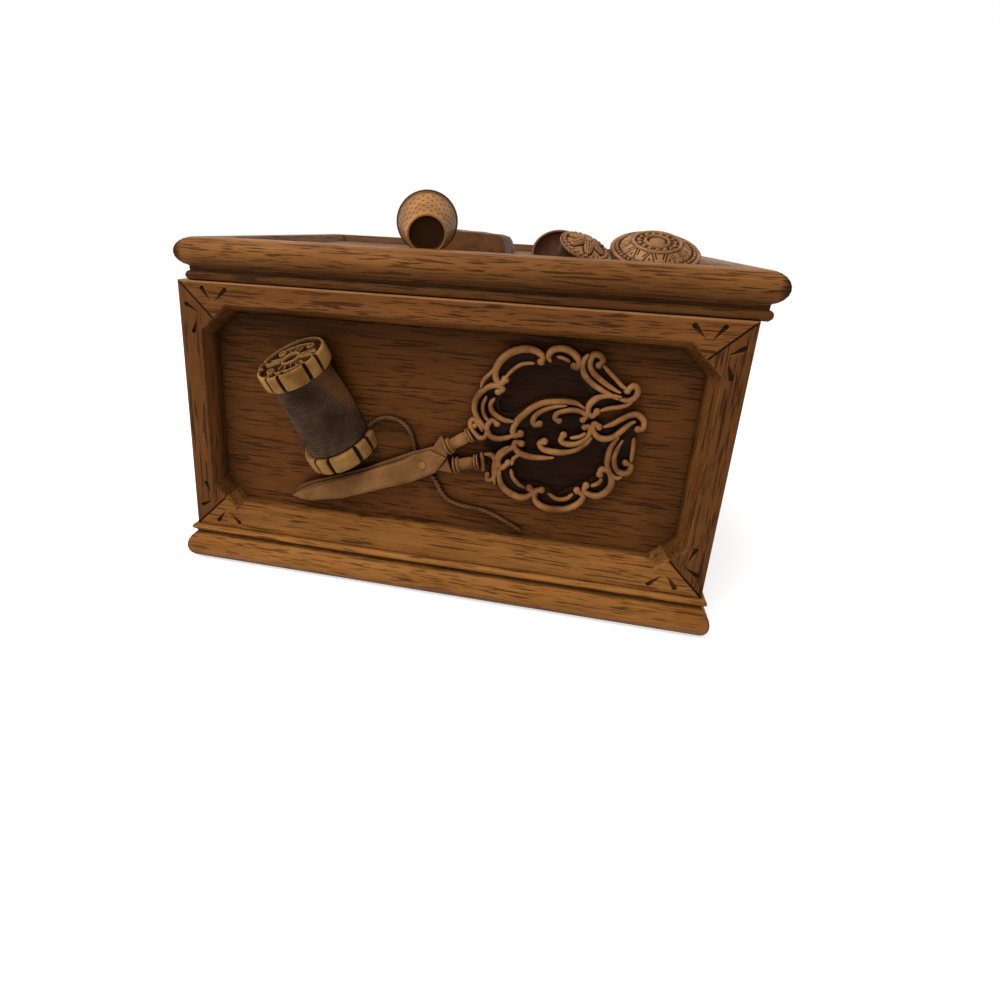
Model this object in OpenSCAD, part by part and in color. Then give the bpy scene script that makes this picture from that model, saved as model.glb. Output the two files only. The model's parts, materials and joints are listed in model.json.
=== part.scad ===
// Thread spool storage box: a wooden sewing box with a lift-off lid.
// Sewing things in relief lie on its front panel and on top of its lid.
// Origin: centre of the base's underside. +X right, -Y to the front, +Z up.

/* [Box] */
// width of the body across the front
body_w = 240; // [200:1:280]
// depth of the body, front to back
body_d = 175; // [150:1:210]
// height of the body from the base moulding to the lid seam
body_h = 119.5; // [112:0.5:150]
// thickness of the front frame
frame_t = 14; // [12:0.5:20]
// thickness of the side and back walls
wall_t = 10; // [6:0.5:14]

/* [Base] */
// height of the base moulding
base_h = 18.5; // [16:0.5:26]
// reach of the base moulding past the body
base_out = 4.5; // [3:0.5:8]
// thickness of the bottom board
bottom_t = 8; // [4:0.5:10]
// thickness of the felt on the bottom board
felt_t = 1.5; // [0.5:0.5:3]

/* [Lid] */
// height of the lid above the seam
lid_h = 18.5; // [16:0.5:26]
// reach of the lid's rounded edge past its seam bead
lid_out = 3; // [2:0.5:6]
// how far to the right of the body the lid sits
lid_shift = 4; // [0:0.5:5]
// width of the flat top of each lid rail
lid_rail_w = 16; // [12:0.5:22]
// how deep the lid panel lies below the rails
lid_sink = 4; // [2:0.5:6]
// depth of the locating battens below the seam
lip_h = 5; // [3:0.5:8]
// width of a locating batten
lip_w = 6; // [4:0.5:8]
// least gap between the battens and the walls
lip_gap = 0.5; // [0.3:0.1:1]

/* [Front panel] */
// width of the frame's top and bottom rails and stiles
front_rail_w = 9.5; // [8:0.5:14]
// size of the angled corner of the recess
corner_cut = 12.5; // [8:0.5:16]
// depth of the recess
recess_d = 9; // [6:0.5:10]
// width of the recess's sloping edge
recess_edge = 4; // [2:0.5:5]

/* [Spool] */
// radius of the upper flange
spool_top_r = 16.2; // [14:0.1:18]
// radius of the lower flange
spool_low_r = 18.2; // [16:0.1:19]
// length of the spool
spool_len = 54; // [50:0.5:56]
// thickness of a flange
flange_t = 8.5; // [6:0.5:10]
// radius of the winding under the upper flange
wind_top_r = 13.4; // [11:0.1:14]
// radius of the winding over the lower flange
wind_low_r = 15.8; // [13:0.1:16]
// number of turns in the winding
wind_turns = 24; // [12:1:24]
// thickness of the thread on the spool
wind_d = 0.9; // [0.7:0.05:0.95]
// thickness of the thread's loose tail
tail_d = 2.2; // [1.6:0.1:2.4]

/* [Scissors] */
// height of the underside of the blades above the panel
blade_lift = 2.5; // [2.4:0.1:3]
// thickness of one blade
blade_t = 1.6; // [1.2:0.1:2]
// height of the handles above the panel
handle_h = 5; // [4:0.5:6]
// radius of the pivot screw's head
pivot_r = 2; // [1.5:0.1:3]

/* [Lid ornaments] */
// radius of the thimble's mouth
thimble_r = 14; // [12:0.5:15]
// radius of the thimble's closed end
thimble_end_r = 8.5; // [7:0.5:10]
// length of the thimble
thimble_len = 24; // [20:0.5:28]
// wall of the thimble
thimble_wall = 1.4; // [1:0.1:2]
// radius of the large button
button_r = 18.5; // [16:0.5:21]
// radius of the petal button
petal_r = 11; // [8:0.5:12]
// radius of the hollow button
cup_r = 12.5; // [8:0.5:13]

/* [Hidden] */
wood = [0.56, 0.35, 0.18];
light_wood = [0.68, 0.44, 0.23];
dark_wood = [0.40, 0.24, 0.12];
tan = [0.74, 0.55, 0.34];
thread_grey = [0.40, 0.35, 0.30];
felt_green = [0.22, 0.17, 0.13];
eps = 0.01;
seam_z = base_h + body_h;
top_z = seam_z + lid_h;
base_in = wall_t;
front_y = -body_d / 2;
panel_y = front_y + recess_d;
inner_front_y = front_y + frame_t;
inner_back_y = body_d / 2 - wall_t;
inner_x = body_w / 2 - wall_t;
panel_z = base_h + body_h / 2;
lid_w = body_w + 2 * lid_out;
lid_d = body_d + 2 * lid_out;
lid_rail_all = lid_rail_w + 3;
lid_floor_z = top_z - lid_sink;
arc_steps = 10;
fine = 64;

// points of an arc of an ellipse from angle a0 to angle a1
function arc(cx, cy, rx, ry, a0, a1) = [for (i = [0 : arc_steps])
    let (a = a0 + (a1 - a0) * i / arc_steps) [cx + rx * cos(a), cy + ry * sin(a)]];

// section of the base: bead, groove and round foot; x is the reach past the body
bead_h = 3;
foot_h = base_h - bead_h - 1.3;
base_section = concat([[-base_in, 0]],
    arc(base_out - 5.5, foot_h / 2, 5.5, foot_h / 2, -90, 78),
    arc(0.6, base_h - bead_h / 2, 1.7, bead_h / 2, -70, 90),
    [[-base_in, base_h]]);

// section of the lid: seam bead, neck and round edge; y runs up from the seam
neck_h = 5.2;
edge_h = lid_h - neck_h - 0.6;
lid_section = concat([[-lid_rail_all + lid_out, 0], [-1.2, 0]],
    arc(-1.8, 2.2, 1.8, 2.1, -60, 80),
    arc(lid_out - 7, neck_h + 0.6 + edge_h / 2, 7, edge_h / 2, -68, 90),
    [[lid_out - lid_rail_w, lid_h], [lid_out - lid_rail_all + 0.6, lid_h - lid_sink],
    [lid_out - lid_rail_all, lid_h - lid_sink]]);

// one mitred length of moulding along X; its outer body face lies on y = -half_y
module moulding(section, half_x, half_y, reach, depth) {
    intersection() {
        translate([-half_x - reach, -half_y, 0])
            rotate([90, 0, 90])
                linear_extrude(2 * (half_x + reach))
                    polygon([for (p = section) [-p[0], p[1]]]);
        translate([0, 0, -1])
            linear_extrude(base_h + lid_h)
                polygon([[-half_x - reach, -half_y - reach],
                    [half_x + reach, -half_y - reach],
                    [half_x - depth, -half_y + depth],
                    [-half_x + depth, -half_y + depth]]);
    }
}

module base_side(turn, half_x, half_y) {
    color(light_wood)
        rotate([0, 0, turn])
            moulding(base_section, half_x, half_y, base_out + 1, base_in);
}

module base_front() {
    base_side(0, body_w / 2, body_d / 2);
}

module base_back() {
    base_side(180, body_w / 2, body_d / 2);
}

module base_left() {
    base_side(270, body_d / 2, body_w / 2);
}

module base_right() {
    base_side(90, body_d / 2, body_w / 2);
}

module bottom_board() {
    color(dark_wood)
        translate([base_in - body_w / 2, base_in - body_d / 2, 0])
            cube([body_w - 2 * base_in, body_d - 2 * base_in, bottom_t]);
}

module felt_liner() {
    color(felt_green)
        translate([-inner_x, -inner_back_y, bottom_t])
            cube([2 * inner_x, 2 * inner_back_y, felt_t]);
}

// eight-sided outline with angled corners
module cut_rect(w, h, cut) {
    polygon([[-w / 2 + cut, -h / 2], [w / 2 - cut, -h / 2], [w / 2, -h / 2 + cut],
        [w / 2, h / 2 - cut], [w / 2 - cut, h / 2], [-w / 2 + cut, h / 2],
        [-w / 2, h / 2 - cut], [-w / 2, -h / 2 + cut]]);
}

// places flat work drawn in x and height on the front, d behind the front face
module on_front(d) {
    translate([0, front_y + d, panel_z])
        rotate([90, 0, 0])
            children();
}

mouth_w = body_w - 2 * front_rail_w;
mouth_h = body_h - 2 * front_rail_w;
floor_w = mouth_w - 2 * recess_edge;
floor_h = mouth_h - 2 * recess_edge;
floor_cut = corner_cut - recess_edge * 0.59;

// the recess: a sloping mouth and a straight seat for the panel
module recess_cut() {
    hull() {
        on_front(0)
            linear_extrude(eps)
                cut_rect(mouth_w, mouth_h, corner_cut);
        on_front(recess_d)
            linear_extrude(eps)
                cut_rect(floor_w, floor_h, floor_cut);
    }
    on_front(frame_t + 1)
        linear_extrude(frame_t - recess_d + 1)
            cut_rect(floor_w, floor_h, floor_cut);
}

// a teardrop gouge, wide end at [x, z], tip turned by a
module gouge(x, z, a) {
    on_front(0)
        translate([x, z, 0])
            rotate([0, 90, a])
                union() {
                    cylinder(h = 7, r1 = 1.1, r2 = 0.15, $fn = 24);
                    sphere(r = 1.1, $fn = 24);
                }
}

// the eight gouges of the top or bottom rail, mirrored on both sides
module rail_gouges(up) {
    for (side = [0, 1])
        mirror([side, 0, 0]) {
            gouge(body_w / 2 - 22.5, up * (body_h / 2 - 3.2), -up * 45);
            gouge(body_w / 2 - 11.5, up * (body_h / 2 - 3), -up * 125);
        }
}

module stile_gouges() {
    for (up = [-1, 1])
        for (side = [0, 1])
            mirror([side, 0, 0]) {
                gouge(body_w / 2 - 3.4, up * (body_h / 2 - 10.5), -up * 150);
                gouge(body_w / 2 - 6, up * (body_h / 2 - 22.5), up * 110);
            }
}

// one mitred side of the front frame, bounded by its plan outline
module frame_side(outline) {
    difference() {
        on_front(frame_t)
            linear_extrude(frame_t)
                polygon(outline);
        recess_cut();
    }
}

mitre = front_rail_w + recess_edge + corner_cut;
module front_rail(up) {
    color(light_wood)
        difference() {
            frame_side([[-body_w / 2, up * body_h / 2], [body_w / 2, up * body_h / 2],
                [body_w / 2 - mitre, up * (body_h / 2 - mitre)],
                [-body_w / 2 + mitre, up * (body_h / 2 - mitre)]]);
            rail_gouges(up);
        }
}

module front_top_rail() {
    front_rail(1);
}

module front_bottom_rail() {
    front_rail(-1);
}

module front_stile(side) {
    color(wood)
        difference() {
            frame_side([[side * body_w / 2, body_h / 2], [side * body_w / 2, -body_h / 2],
                [side * (body_w / 2 - mitre), mitre - body_h / 2],
                [side * (body_w / 2 - mitre), body_h / 2 - mitre]]);
            stile_gouges();
        }
}

module front_left_stile() {
    front_stile(-1);
}

module front_right_stile() {
    front_stile(1);
}

module front_panel() {
    color(dark_wood)
        on_front(frame_t)
            linear_extrude(frame_t - recess_d)
                cut_rect(floor_w, floor_h, floor_cut);
}

module side_wall(x) {
    color(wood)
        translate([x, inner_front_y, base_h])
            cube([wall_t, inner_back_y - inner_front_y, body_h]);
}

module side_wall_left() {
    side_wall(-body_w / 2);
}

module side_wall_right() {
    side_wall(inner_x);
}

module back_wall() {
    color(wood)
        translate([-body_w / 2, inner_back_y, base_h])
            cube([body_w, wall_t, body_h]);
}

// the spool leans left in the panel's plane and outwards at the top
spool_x = -46;
spool_rise = -16;
spool_sink = 3.4;
spool_lean = 22;
spool_tilt = 20;

module on_spool(a) {
    translate([spool_x, panel_y + spool_sink, panel_z + spool_rise])
        rotate([0, -spool_lean, 0])
            rotate([spool_tilt, 0, 0])
                translate([0, 0, a])
                    children();
}

// everything in front of the panel, so that relief work has a flat back
module above_panel() {
    intersection() {
        children();
        translate([-body_w / 2, panel_y - 60, base_h])
            cube([body_w, 60, body_h]);
    }
}

// a flange: five wide and five narrow lobes parted by notches
flange_notches = [23.5, 48.5];
module flange(r) {
    difference() {
        cylinder(h = flange_t, r = r, $fn = fine);
        for (k = [0 : 4])
            for (a = flange_notches)
                rotate([0, 0, k * 72 + a])
                    translate([r + 0.3, 0, -1])
                        cylinder(h = flange_t + 2, r = 1.1, $fn = 16);
    }
}

face_hub_r = 3.6;
module spool_top_flange() {
    color(tan)
        above_panel()
            on_spool(spool_len - flange_t)
                difference() {
                    flange(spool_top_r);
                    translate([0, 0, flange_t - 1])
                        difference() {
                            cylinder(h = 2, r = spool_top_r - 2.2, $fn = fine);
                            translate([0, 0, -1])
                                cylinder(h = 4, r = face_hub_r, $fn = 32);
                        }
                    translate([0, 0, flange_t - 3])
                        cylinder(h = 4, r = face_hub_r - 1.4, $fn = 32);
                }
}

module spool_bottom_flange() {
    color(tan)
        above_panel()
            on_spool(0)
                flange(spool_low_r);
}

wind_len = spool_len - 2 * flange_t;
module spool_core() {
    color(thread_grey)
        above_panel()
            on_spool(flange_t)
                cylinder(h = wind_len, r1 = wind_low_r - wind_d, r2 = wind_top_r - wind_d,
                    $fn = fine);
}

// the winding: one thread that runs to and fro over the front of the core
wind_sides = 6;
wind_rings = 22;
wind_pitch = (wind_len - 2 * wind_d) / (wind_turns - 0.5);
function core_r(a) = wind_low_r + (wind_top_r - wind_low_r) * (a - flange_t) / wind_len
    - wind_d / 2 + 0.05;
function rise(a) = a * sin(spool_tilt) - spool_sink;
function half_turn(a) = acos(max(-0.99, min(0.99,
    (wind_d + 0.35 - rise(a)) / (core_r(a) * cos(spool_tilt)))));
function wind_point(a, t) = [core_r(a) * sin(t), -core_r(a) * cos(t), a];
wind_path = [for (k = [0 : wind_turns - 1])
    for (i = [0 : wind_rings])
        let (a = flange_t + wind_d + k * wind_pitch,
            way = k % 2 == 0 ? 1 : -1,
            h = half_turn(a),
            turn_in = i == 0 && k > 0 ? -0.2 : i == wind_rings && k < wind_turns - 1 ? 0.2 : 0)
            wind_point(a + turn_in, way * h * (2 * i / wind_rings - 1))];

// least distance between two turns of the winding, over a sample of its points
wind_gap = min([for (k = [0 : wind_turns - 2]) for (i = [2 : wind_rings - 2])
    for (j = [2 : wind_rings - 2])
        norm(wind_path[k * (wind_rings + 1) + i]
            - wind_path[(k + 1) * (wind_rings + 1) + j])]) - wind_d;
echo(least_gap_of_the_winding_to_itself_mm = wind_gap);

function unit(v) = v / norm(v);
// direction of a path at point i
function along(path, i) = unit(path[min(i + 1, len(path) - 1)] - path[max(i - 1, 0)]);

// a tube along a path; up gives the side that each ring starts from
module tube(path, radii, sides, up) {
    n = len(path);
    rings = [for (i = [0 : n - 1])
        let (t = along(path, i), s = unit(cross(t, up(i))), b = cross(s, t))
        for (k = [0 : sides - 1])
            path[i] + radii[i] * (cos(360 * k / sides) * s + sin(360 * k / sides) * b)];
    skin = [for (i = [0 : n - 2]) for (k = [0 : sides - 1])
        let (p = i * sides + k, q = i * sides + (k + 1) % sides)
        each [[p, q, q + sides], [p, q + sides, p + sides]]];
    first = [for (k = [1 : sides - 2]) [0, k + 1, k]];
    last = [for (k = [1 : sides - 2]) let (o = (n - 1) * sides) [o, o + k, o + k + 1]];
    polyhedron(points = rings, faces = concat(skin, first, last), convexity = 10);
}

module spool_winding() {
    color(thread_grey)
        on_spool(0)
            tube(wind_path, [for (p = wind_path) wind_d / 2], wind_sides,
                function (i) [wind_path[i][0], wind_path[i][1], 0]);
}

// loose tail of the thread, in x and height about the panel's centre
tail_route = [[-33.6, -1.4], [-31.4, 1], [-28, 3.2], [-23.5, 4], [-19, 3], [-15.5, 0.5],
    [-13, -3.5], [-11.6, -8.5], [-10, -13.5], [-7, -18], [-3.4, -21.5], [-0.6, -25],
    [1.6, -29], [5, -32.5], [10, -34.4], [15, -35], [20, -35.4], [25, -36.6], [30, -38.6],
    [35, -41], [40, -43.4]];
function smooth(p, i, t) = let (n = len(p) - 1, a = p[max(i - 1, 0)], b = p[i],
    c = p[min(i + 1, n)], d = p[min(i + 2, n)])
    0.5 * (2 * b + (c - a) * t + (2 * a - 5 * b + 4 * c - d) * t * t
    + (3 * b - a - 3 * c + d) * t * t * t);
function smooth_path(p, steps) = concat([for (i = [0 : len(p) - 2])
    for (k = [0 : steps - 1]) smooth(p, i, k / steps)], [p[len(p) - 1]]);

module thread_tail() {
    flat = smooth_path(tail_route, 2);
    path = [for (p = flat) [p[0], panel_y - tail_d / 2 - 0.02, panel_z + p[1]]];
    color(tan)
        tube(path, [for (p = path) tail_d / 2], 8, function (i) [0, 1, 0]);
}

// a flat shape on the panel, from height h0 above it to height h1
module raised(h0, h1) {
    translate([0, panel_y - h0, panel_z])
        rotate([90, 0, 0])
            linear_extrude(h1 - h0)
                children();
}

blade_mid = blade_lift + blade_t;
blade_top = blade_mid + blade_t;
pivot_at = [-7, -15.5];
screw_hole_r = pivot_r * 0.6;

module scissors_front_blade() {
    color(tan)
        difference() {
            raised(blade_mid, blade_top)
                polygon([[-70.5, -39.6], [-66, -40.8], [-60.5, -40.8], [-45, -37.4],
                    [-28, -30.8], [-12, -24.6], [0, -18.6], [3.4, -13.6], [4.6, -11.6],
                    [0.8, -5.2], [-2.4, -6.8], [-12, -11.4], [-15.5, -14], [-33.5, -22],
                    [-48, -27.6], [-60, -32.4], [-66, -35.6]]);
            raised(blade_mid - 1, blade_top + 1)
                translate(pivot_at)
                    circle(r = screw_hole_r, $fn = 32);
        }
}

module scissors_back_blade() {
    color(tan)
        difference() {
            raised(blade_lift, blade_mid)
                polygon([[-69.4, -37.6], [-60.5, -39], [-45, -35.4], [-28, -29],
                    [-12, -23], [-1, -17.2], [3, -12.4], [0, -5.8], [-12, -10.4],
                    [-33.5, -20.6], [-48, -26.4], [-60, -31], [-66.6, -34]]);
            raised(blade_lift - 1, blade_mid + 1)
                translate(pivot_at)
                    circle(r = screw_hole_r, $fn = 32);
        }
}

module scissors_pivot_screw() {
    color(light_wood)
        translate([pivot_at[0], panel_y - blade_lift, panel_z + pivot_at[1]])
            rotate([90, 0, 0])
                union() {
                    cylinder(h = 2 * blade_t, r = screw_hole_r, $fn = 32);
                    translate([0, 0, 2 * blade_t])
                        cylinder(h = 0.8, r = pivot_r, $fn = 32);
                }
}

// a turned shank lying on the panel between two points, with a collar at its start
shank_sink = 0.3;
module shank(from, to, r) {
    v = to - from;
    difference() {
        translate([from[0], panel_y - r + shank_sink, panel_z + from[1]])
            rotate([0, 90 - atan2(v[1], v[0]), 0])
                union() {
                    cylinder(h = norm(v), r = r, $fn = 32);
                    cylinder(h = 3.2, r = r + 1.5, $fn = 32);
                    translate([0, 0, norm(v) - 2])
                        cylinder(h = 2, r = r + 1, $fn = 32);
                }
        translate([-body_w / 2, panel_y, base_h])
            cube([body_w, recess_d, body_h]);
    }
}

module scissors_upper_shank() {
    color(tan)
        shank([3.4, -6.4], [14.6, 1.3], 2.7);
}

module scissors_lower_shank() {
    color(tan)
        shank([7, -14.5], [18.6, -11.4], 2.7);
}

// the handles: scalloped rings of scrolls, each with its finger loop
module scissors_upper_handle() {
    color(tan)
        raised(0, handle_h)
            difference() {
                polygon([[12.6, 8.2], [13.4, 13], [16.4, 20], [17.6, 28], [22, 33.8],
                    [30, 39.8], [38.5, 41.6], [45.5, 39], [52, 42], [58.6, 38.6],
                    [62.6, 35.4], [66, 38.8], [70.4, 36.4], [72, 30], [78.4, 26.2],
                    [82.4, 22.6], [82, 18.8], [70, 16], [65.4, 12], [58, 12.4],
                    [46, 13.4], [34.6, 7.4], [29.6, 2.2], [22.4, 1.6],
                    [20.2, -0.6], [16.6, 0.8], [14.2, 4.2], [12.9, 6.4]]);
                polygon([[24.6, 14.4], [24, 19.6], [27.6, 24.4], [30, 31], [36.4, 35.6],
                    [46, 35.4], [55, 35.6], [60, 31], [62, 25], [66.6, 20.6],
                    [63.4, 17.4], [52, 17.8], [42, 17.4], [35, 12.4]]);
            }
}

module scissors_lower_handle() {
    color(tan)
        raised(0, handle_h)
            difference() {
                polygon([[19.4, -7.2], [26, -6.4], [32.6, -3.4], [38, -1.4], [48, 0.8],
                    [58, 3], [66, 4.4], [70.6, 9.6], [78, 10.8], [84, 12.8], [87, 9.4],
                    [83.6, 3], [81.6, -7.6], [80.4, -13.4], [75.4, -15.8], [72.4, -20],
                    [70.8, -26], [64.4, -30], [58.6, -33.6], [47.6, -36.4],
                    [38.6, -33.8], [31.4, -30.6], [25.4, -25], [22.6, -17.4],
                    [19.6, -13]]);
                polygon([[29.6, -16.6], [32.4, -23.4], [40, -29], [49, -29.8],
                    [58, -27.6], [66, -21.6], [69.6, -14.6], [70.8, -7], [66, -4],
                    [56, -8.4], [44, -8.8], [34, -7.6], [31, -10]]);
            }
}

// everything on the lid is drawn about the lid's own centre
module on_lid() {
    translate([lid_shift, 0, seam_z])
        children();
}

module lid_side(turn, half_x, half_y) {
    color(light_wood)
        on_lid()
            rotate([0, 0, turn])
                moulding(lid_section, half_x, half_y, lid_out + 1, lid_rail_all - lid_out);
}

module lid_front_rail() {
    lid_side(0, body_w / 2, body_d / 2);
}

module lid_back_rail() {
    lid_side(180, body_w / 2, body_d / 2);
}

module lid_left_rail() {
    lid_side(270, body_d / 2, body_w / 2);
}

module lid_right_rail() {
    lid_side(90, body_d / 2, body_w / 2);
}

lid_open_x = lid_w / 2 - lid_rail_all;
lid_open_y = lid_d / 2 - lid_rail_all;
module lid_panel() {
    color(wood)
        on_lid()
            translate([-lid_open_x, -lid_open_y, 0])
                cube([2 * lid_open_x, 2 * lid_open_y, lid_h - lid_sink]);
}

// the battens under the lid that keep it from sliding off
lip_x = inner_x - lip_gap - lid_shift;
lip_y0 = inner_front_y + lip_gap;
lip_y1 = inner_back_y - lip_gap;
module batten(x0, x1, y0, y1) {
    color(dark_wood)
        on_lid()
            translate([x0, y0, -lip_h])
                cube([x1 - x0, y1 - y0, lip_h]);
}

module lid_batten_front() {
    batten(-lip_x, lip_x, lip_y0, lip_y0 + lip_w);
}

module lid_batten_back() {
    batten(-lip_x, lip_x, lip_y1 - lip_w, lip_y1);
}

module lid_batten_left() {
    batten(-lip_x, lip_w - lip_x, lip_y0 + lip_w, lip_y1 - lip_w);
}

module lid_batten_right() {
    batten(lip_x - lip_w, lip_x, lip_y0 + lip_w, lip_y1 - lip_w);
}

// everything above the lid panel, so that each ornament has a flat seat
module above_lid() {
    intersection() {
        children();
        translate([-lid_open_x, -lid_open_y, lid_floor_z])
            cube([2 * lid_open_x + lid_shift, 2 * lid_open_y, 60]);
    }
}

// the thimble lies on its side with its closed end to the front
thimble_at = [-12.3, -69];
thimble_slope = atan((thimble_r - thimble_end_r) / thimble_len);
rim_len = 2.6;
dish_deep = 1;
thimble_lift = 1.3;
module on_thimble() {
    translate([thimble_at[0], thimble_at[1],
        lid_floor_z + thimble_end_r * cos(thimble_slope) + thimble_lift])
        rotate([thimble_slope - 90, 0, 13])
            children();
}

module thimble() {
    color(tan)
        above_lid()
            on_thimble()
                difference() {
                    cylinder(h = thimble_len - rim_len, r1 = thimble_end_r,
                        r2 = thimble_r - 0.6, $fn = fine);
                    translate([0, 0, thimble_len - rim_len - dish_deep])
                        cylinder(h = thimble_len, r = thimble_r - thimble_wall - 1.2,
                            $fn = fine);
                    translate([0, 0, -1])
                        cylinder(h = 2, r = thimble_end_r - 1.4, $fn = fine);
                }
    // a low seat that carries it
    color(tan)
        translate([thimble_at[0], thimble_at[1], lid_floor_z])
            rotate([0, 0, 13])
                translate([-3, 1.5, 0])
                    cube([6, thimble_len - 8, thimble_lift + 0.9]);
}

module thimble_rim() {
    color(tan)
        above_lid()
            on_thimble()
                translate([0, 0, thimble_len - rim_len])
                    difference() {
                        cylinder(h = rim_len, r = thimble_r, $fn = fine);
                        translate([0, 0, -1])
                            cylinder(h = rim_len + 2, r = thimble_r - thimble_wall - 0.4,
                                $fn = fine);
                    }
}

// a button tipped towards the viewer, filled underneath down to the lid panel
module tipped(at, low, tip, turn) {
    translate([at[0], at[1], lid_floor_z + low])
        rotate([tip, 0, turn])
            children();
}

// points of a shallow dome from radius r0 at height z0 in to radius r1 at height z1
function crown(r0, z0, r1, z1) = [for (i = [0 : arc_steps])
    let (a = 90 * i / arc_steps)
    [r1 + (r0 - r1) * cos(a), z0 + (z1 - z0) * sin(a)]];

// a round button: a stem down to the lid, a rim and a crown with a flat seat on top
module button_body(r, edge, crown_h, seat_r, deep) {
    rotate_extrude($fn = fine)
        polygon(concat([[0, -deep], [r - 1.2, -deep], [r - 1.2, 0], [r, 0]],
            crown(r, edge, seat_r, edge + crown_h), [[0, edge + crown_h]]));
}

button_tip = 24;
button_edge = 2.4;
button_crown = 3.6;
button_at = [83, -52];
button_low = button_r * sin(button_tip) - 1.6;
boss_r = 9.4;
boss_h = 2.6;
module large_button() {
    color(tan)
        above_lid()
            tipped(button_at, button_low, button_tip, 4)
                button_body(button_r, button_edge, button_crown, boss_r, 24);
}

module large_button_boss() {
    color(tan)
        tipped(button_at, button_low, button_tip, 4)
            translate([0, 0, button_edge + button_crown])
                rotate_extrude($fn = fine)
                    polygon(concat([[0, 0], [boss_r, 0]],
                        crown(boss_r, 0.6, 2, boss_h), [[0, boss_h]]));
}

petal_tip = 30;
module petal_button() {
    color(tan)
        above_lid()
            tipped([53.5, -60], petal_r * sin(petal_tip) + 1.5, petal_tip, 42)
                button_body(petal_r, 1.6, 3.4, 1, 16);
}

cup_tip = 55;
// height of its middle over the lid panel; its lower edge is sunk out of sight
cup_low = 2.8;
module hollow_button() {
    color(tan)
        above_lid()
            tipped([43.2, -40], cup_low, cup_tip, 3)
                rotate_extrude($fn = fine)
                    polygon(concat([[0, -14], [cup_r - 1.4, -14], [cup_r - 1.4, 0],
                        [cup_r, 0], [cup_r, 2.4]], crown(cup_r - 1, 2.4, 0, -0.6)));
}

// the folded end of a ribbon behind the thimble
ribbon_wide = 20;
ribbon_high = 12.4;
module ribbon_end() {
    color(light_wood)
        translate([4, -6, lid_floor_z])
            rotate([0, 0, -8])
                rotate([90, 0, 0])
                    linear_extrude(ribbon_wide, center = true)
                        polygon([[-26, 0], [-26, ribbon_high], [-14, ribbon_high - 0.5],
                            [-4, ribbon_high - 1], [7.7, ribbon_high - 1.8],
                            [11.1, ribbon_high - 2.6], [12.8, ribbon_high - 4.8],
                            [14.6, 0]]);
}

base_front();
base_back();
base_left();
base_right();
bottom_board();
felt_liner();
front_top_rail();
front_bottom_rail();
front_left_stile();
front_right_stile();
front_panel();
side_wall_left();
side_wall_right();
back_wall();
spool_top_flange();
spool_bottom_flange();
spool_core();
spool_winding();
thread_tail();
scissors_front_blade();
scissors_back_blade();
scissors_pivot_screw();
scissors_upper_shank();
scissors_lower_shank();
scissors_upper_handle();
scissors_lower_handle();
lid_front_rail();
lid_back_rail();
lid_left_rail();
lid_right_rail();
lid_panel();
lid_batten_front();
lid_batten_back();
lid_batten_left();
lid_batten_right();
thimble();
thimble_rim();
large_button();
large_button_boss();
petal_button();
hollow_button();
ribbon_end();
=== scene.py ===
"""Dressed scene of a wooden thread spool storage box with sewing things in relief.

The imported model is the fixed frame. Plain pieces keep their shape and get a stained
wood finish; the carved pieces (spool flanges and winding, thread, scissors, thimble,
buttons, ribbon) are replaced by fuller forms that lie in the same places. Sizes are in
millimetres in the classes of the pieces and become metres when a mesh is made. The
finishes' own distances and the lamps' places are in metres.
"""

import json
import logging
import math
import random
from dataclasses import dataclass
from enum import Enum
from typing import Callable, Iterable, Optional, Sequence

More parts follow.
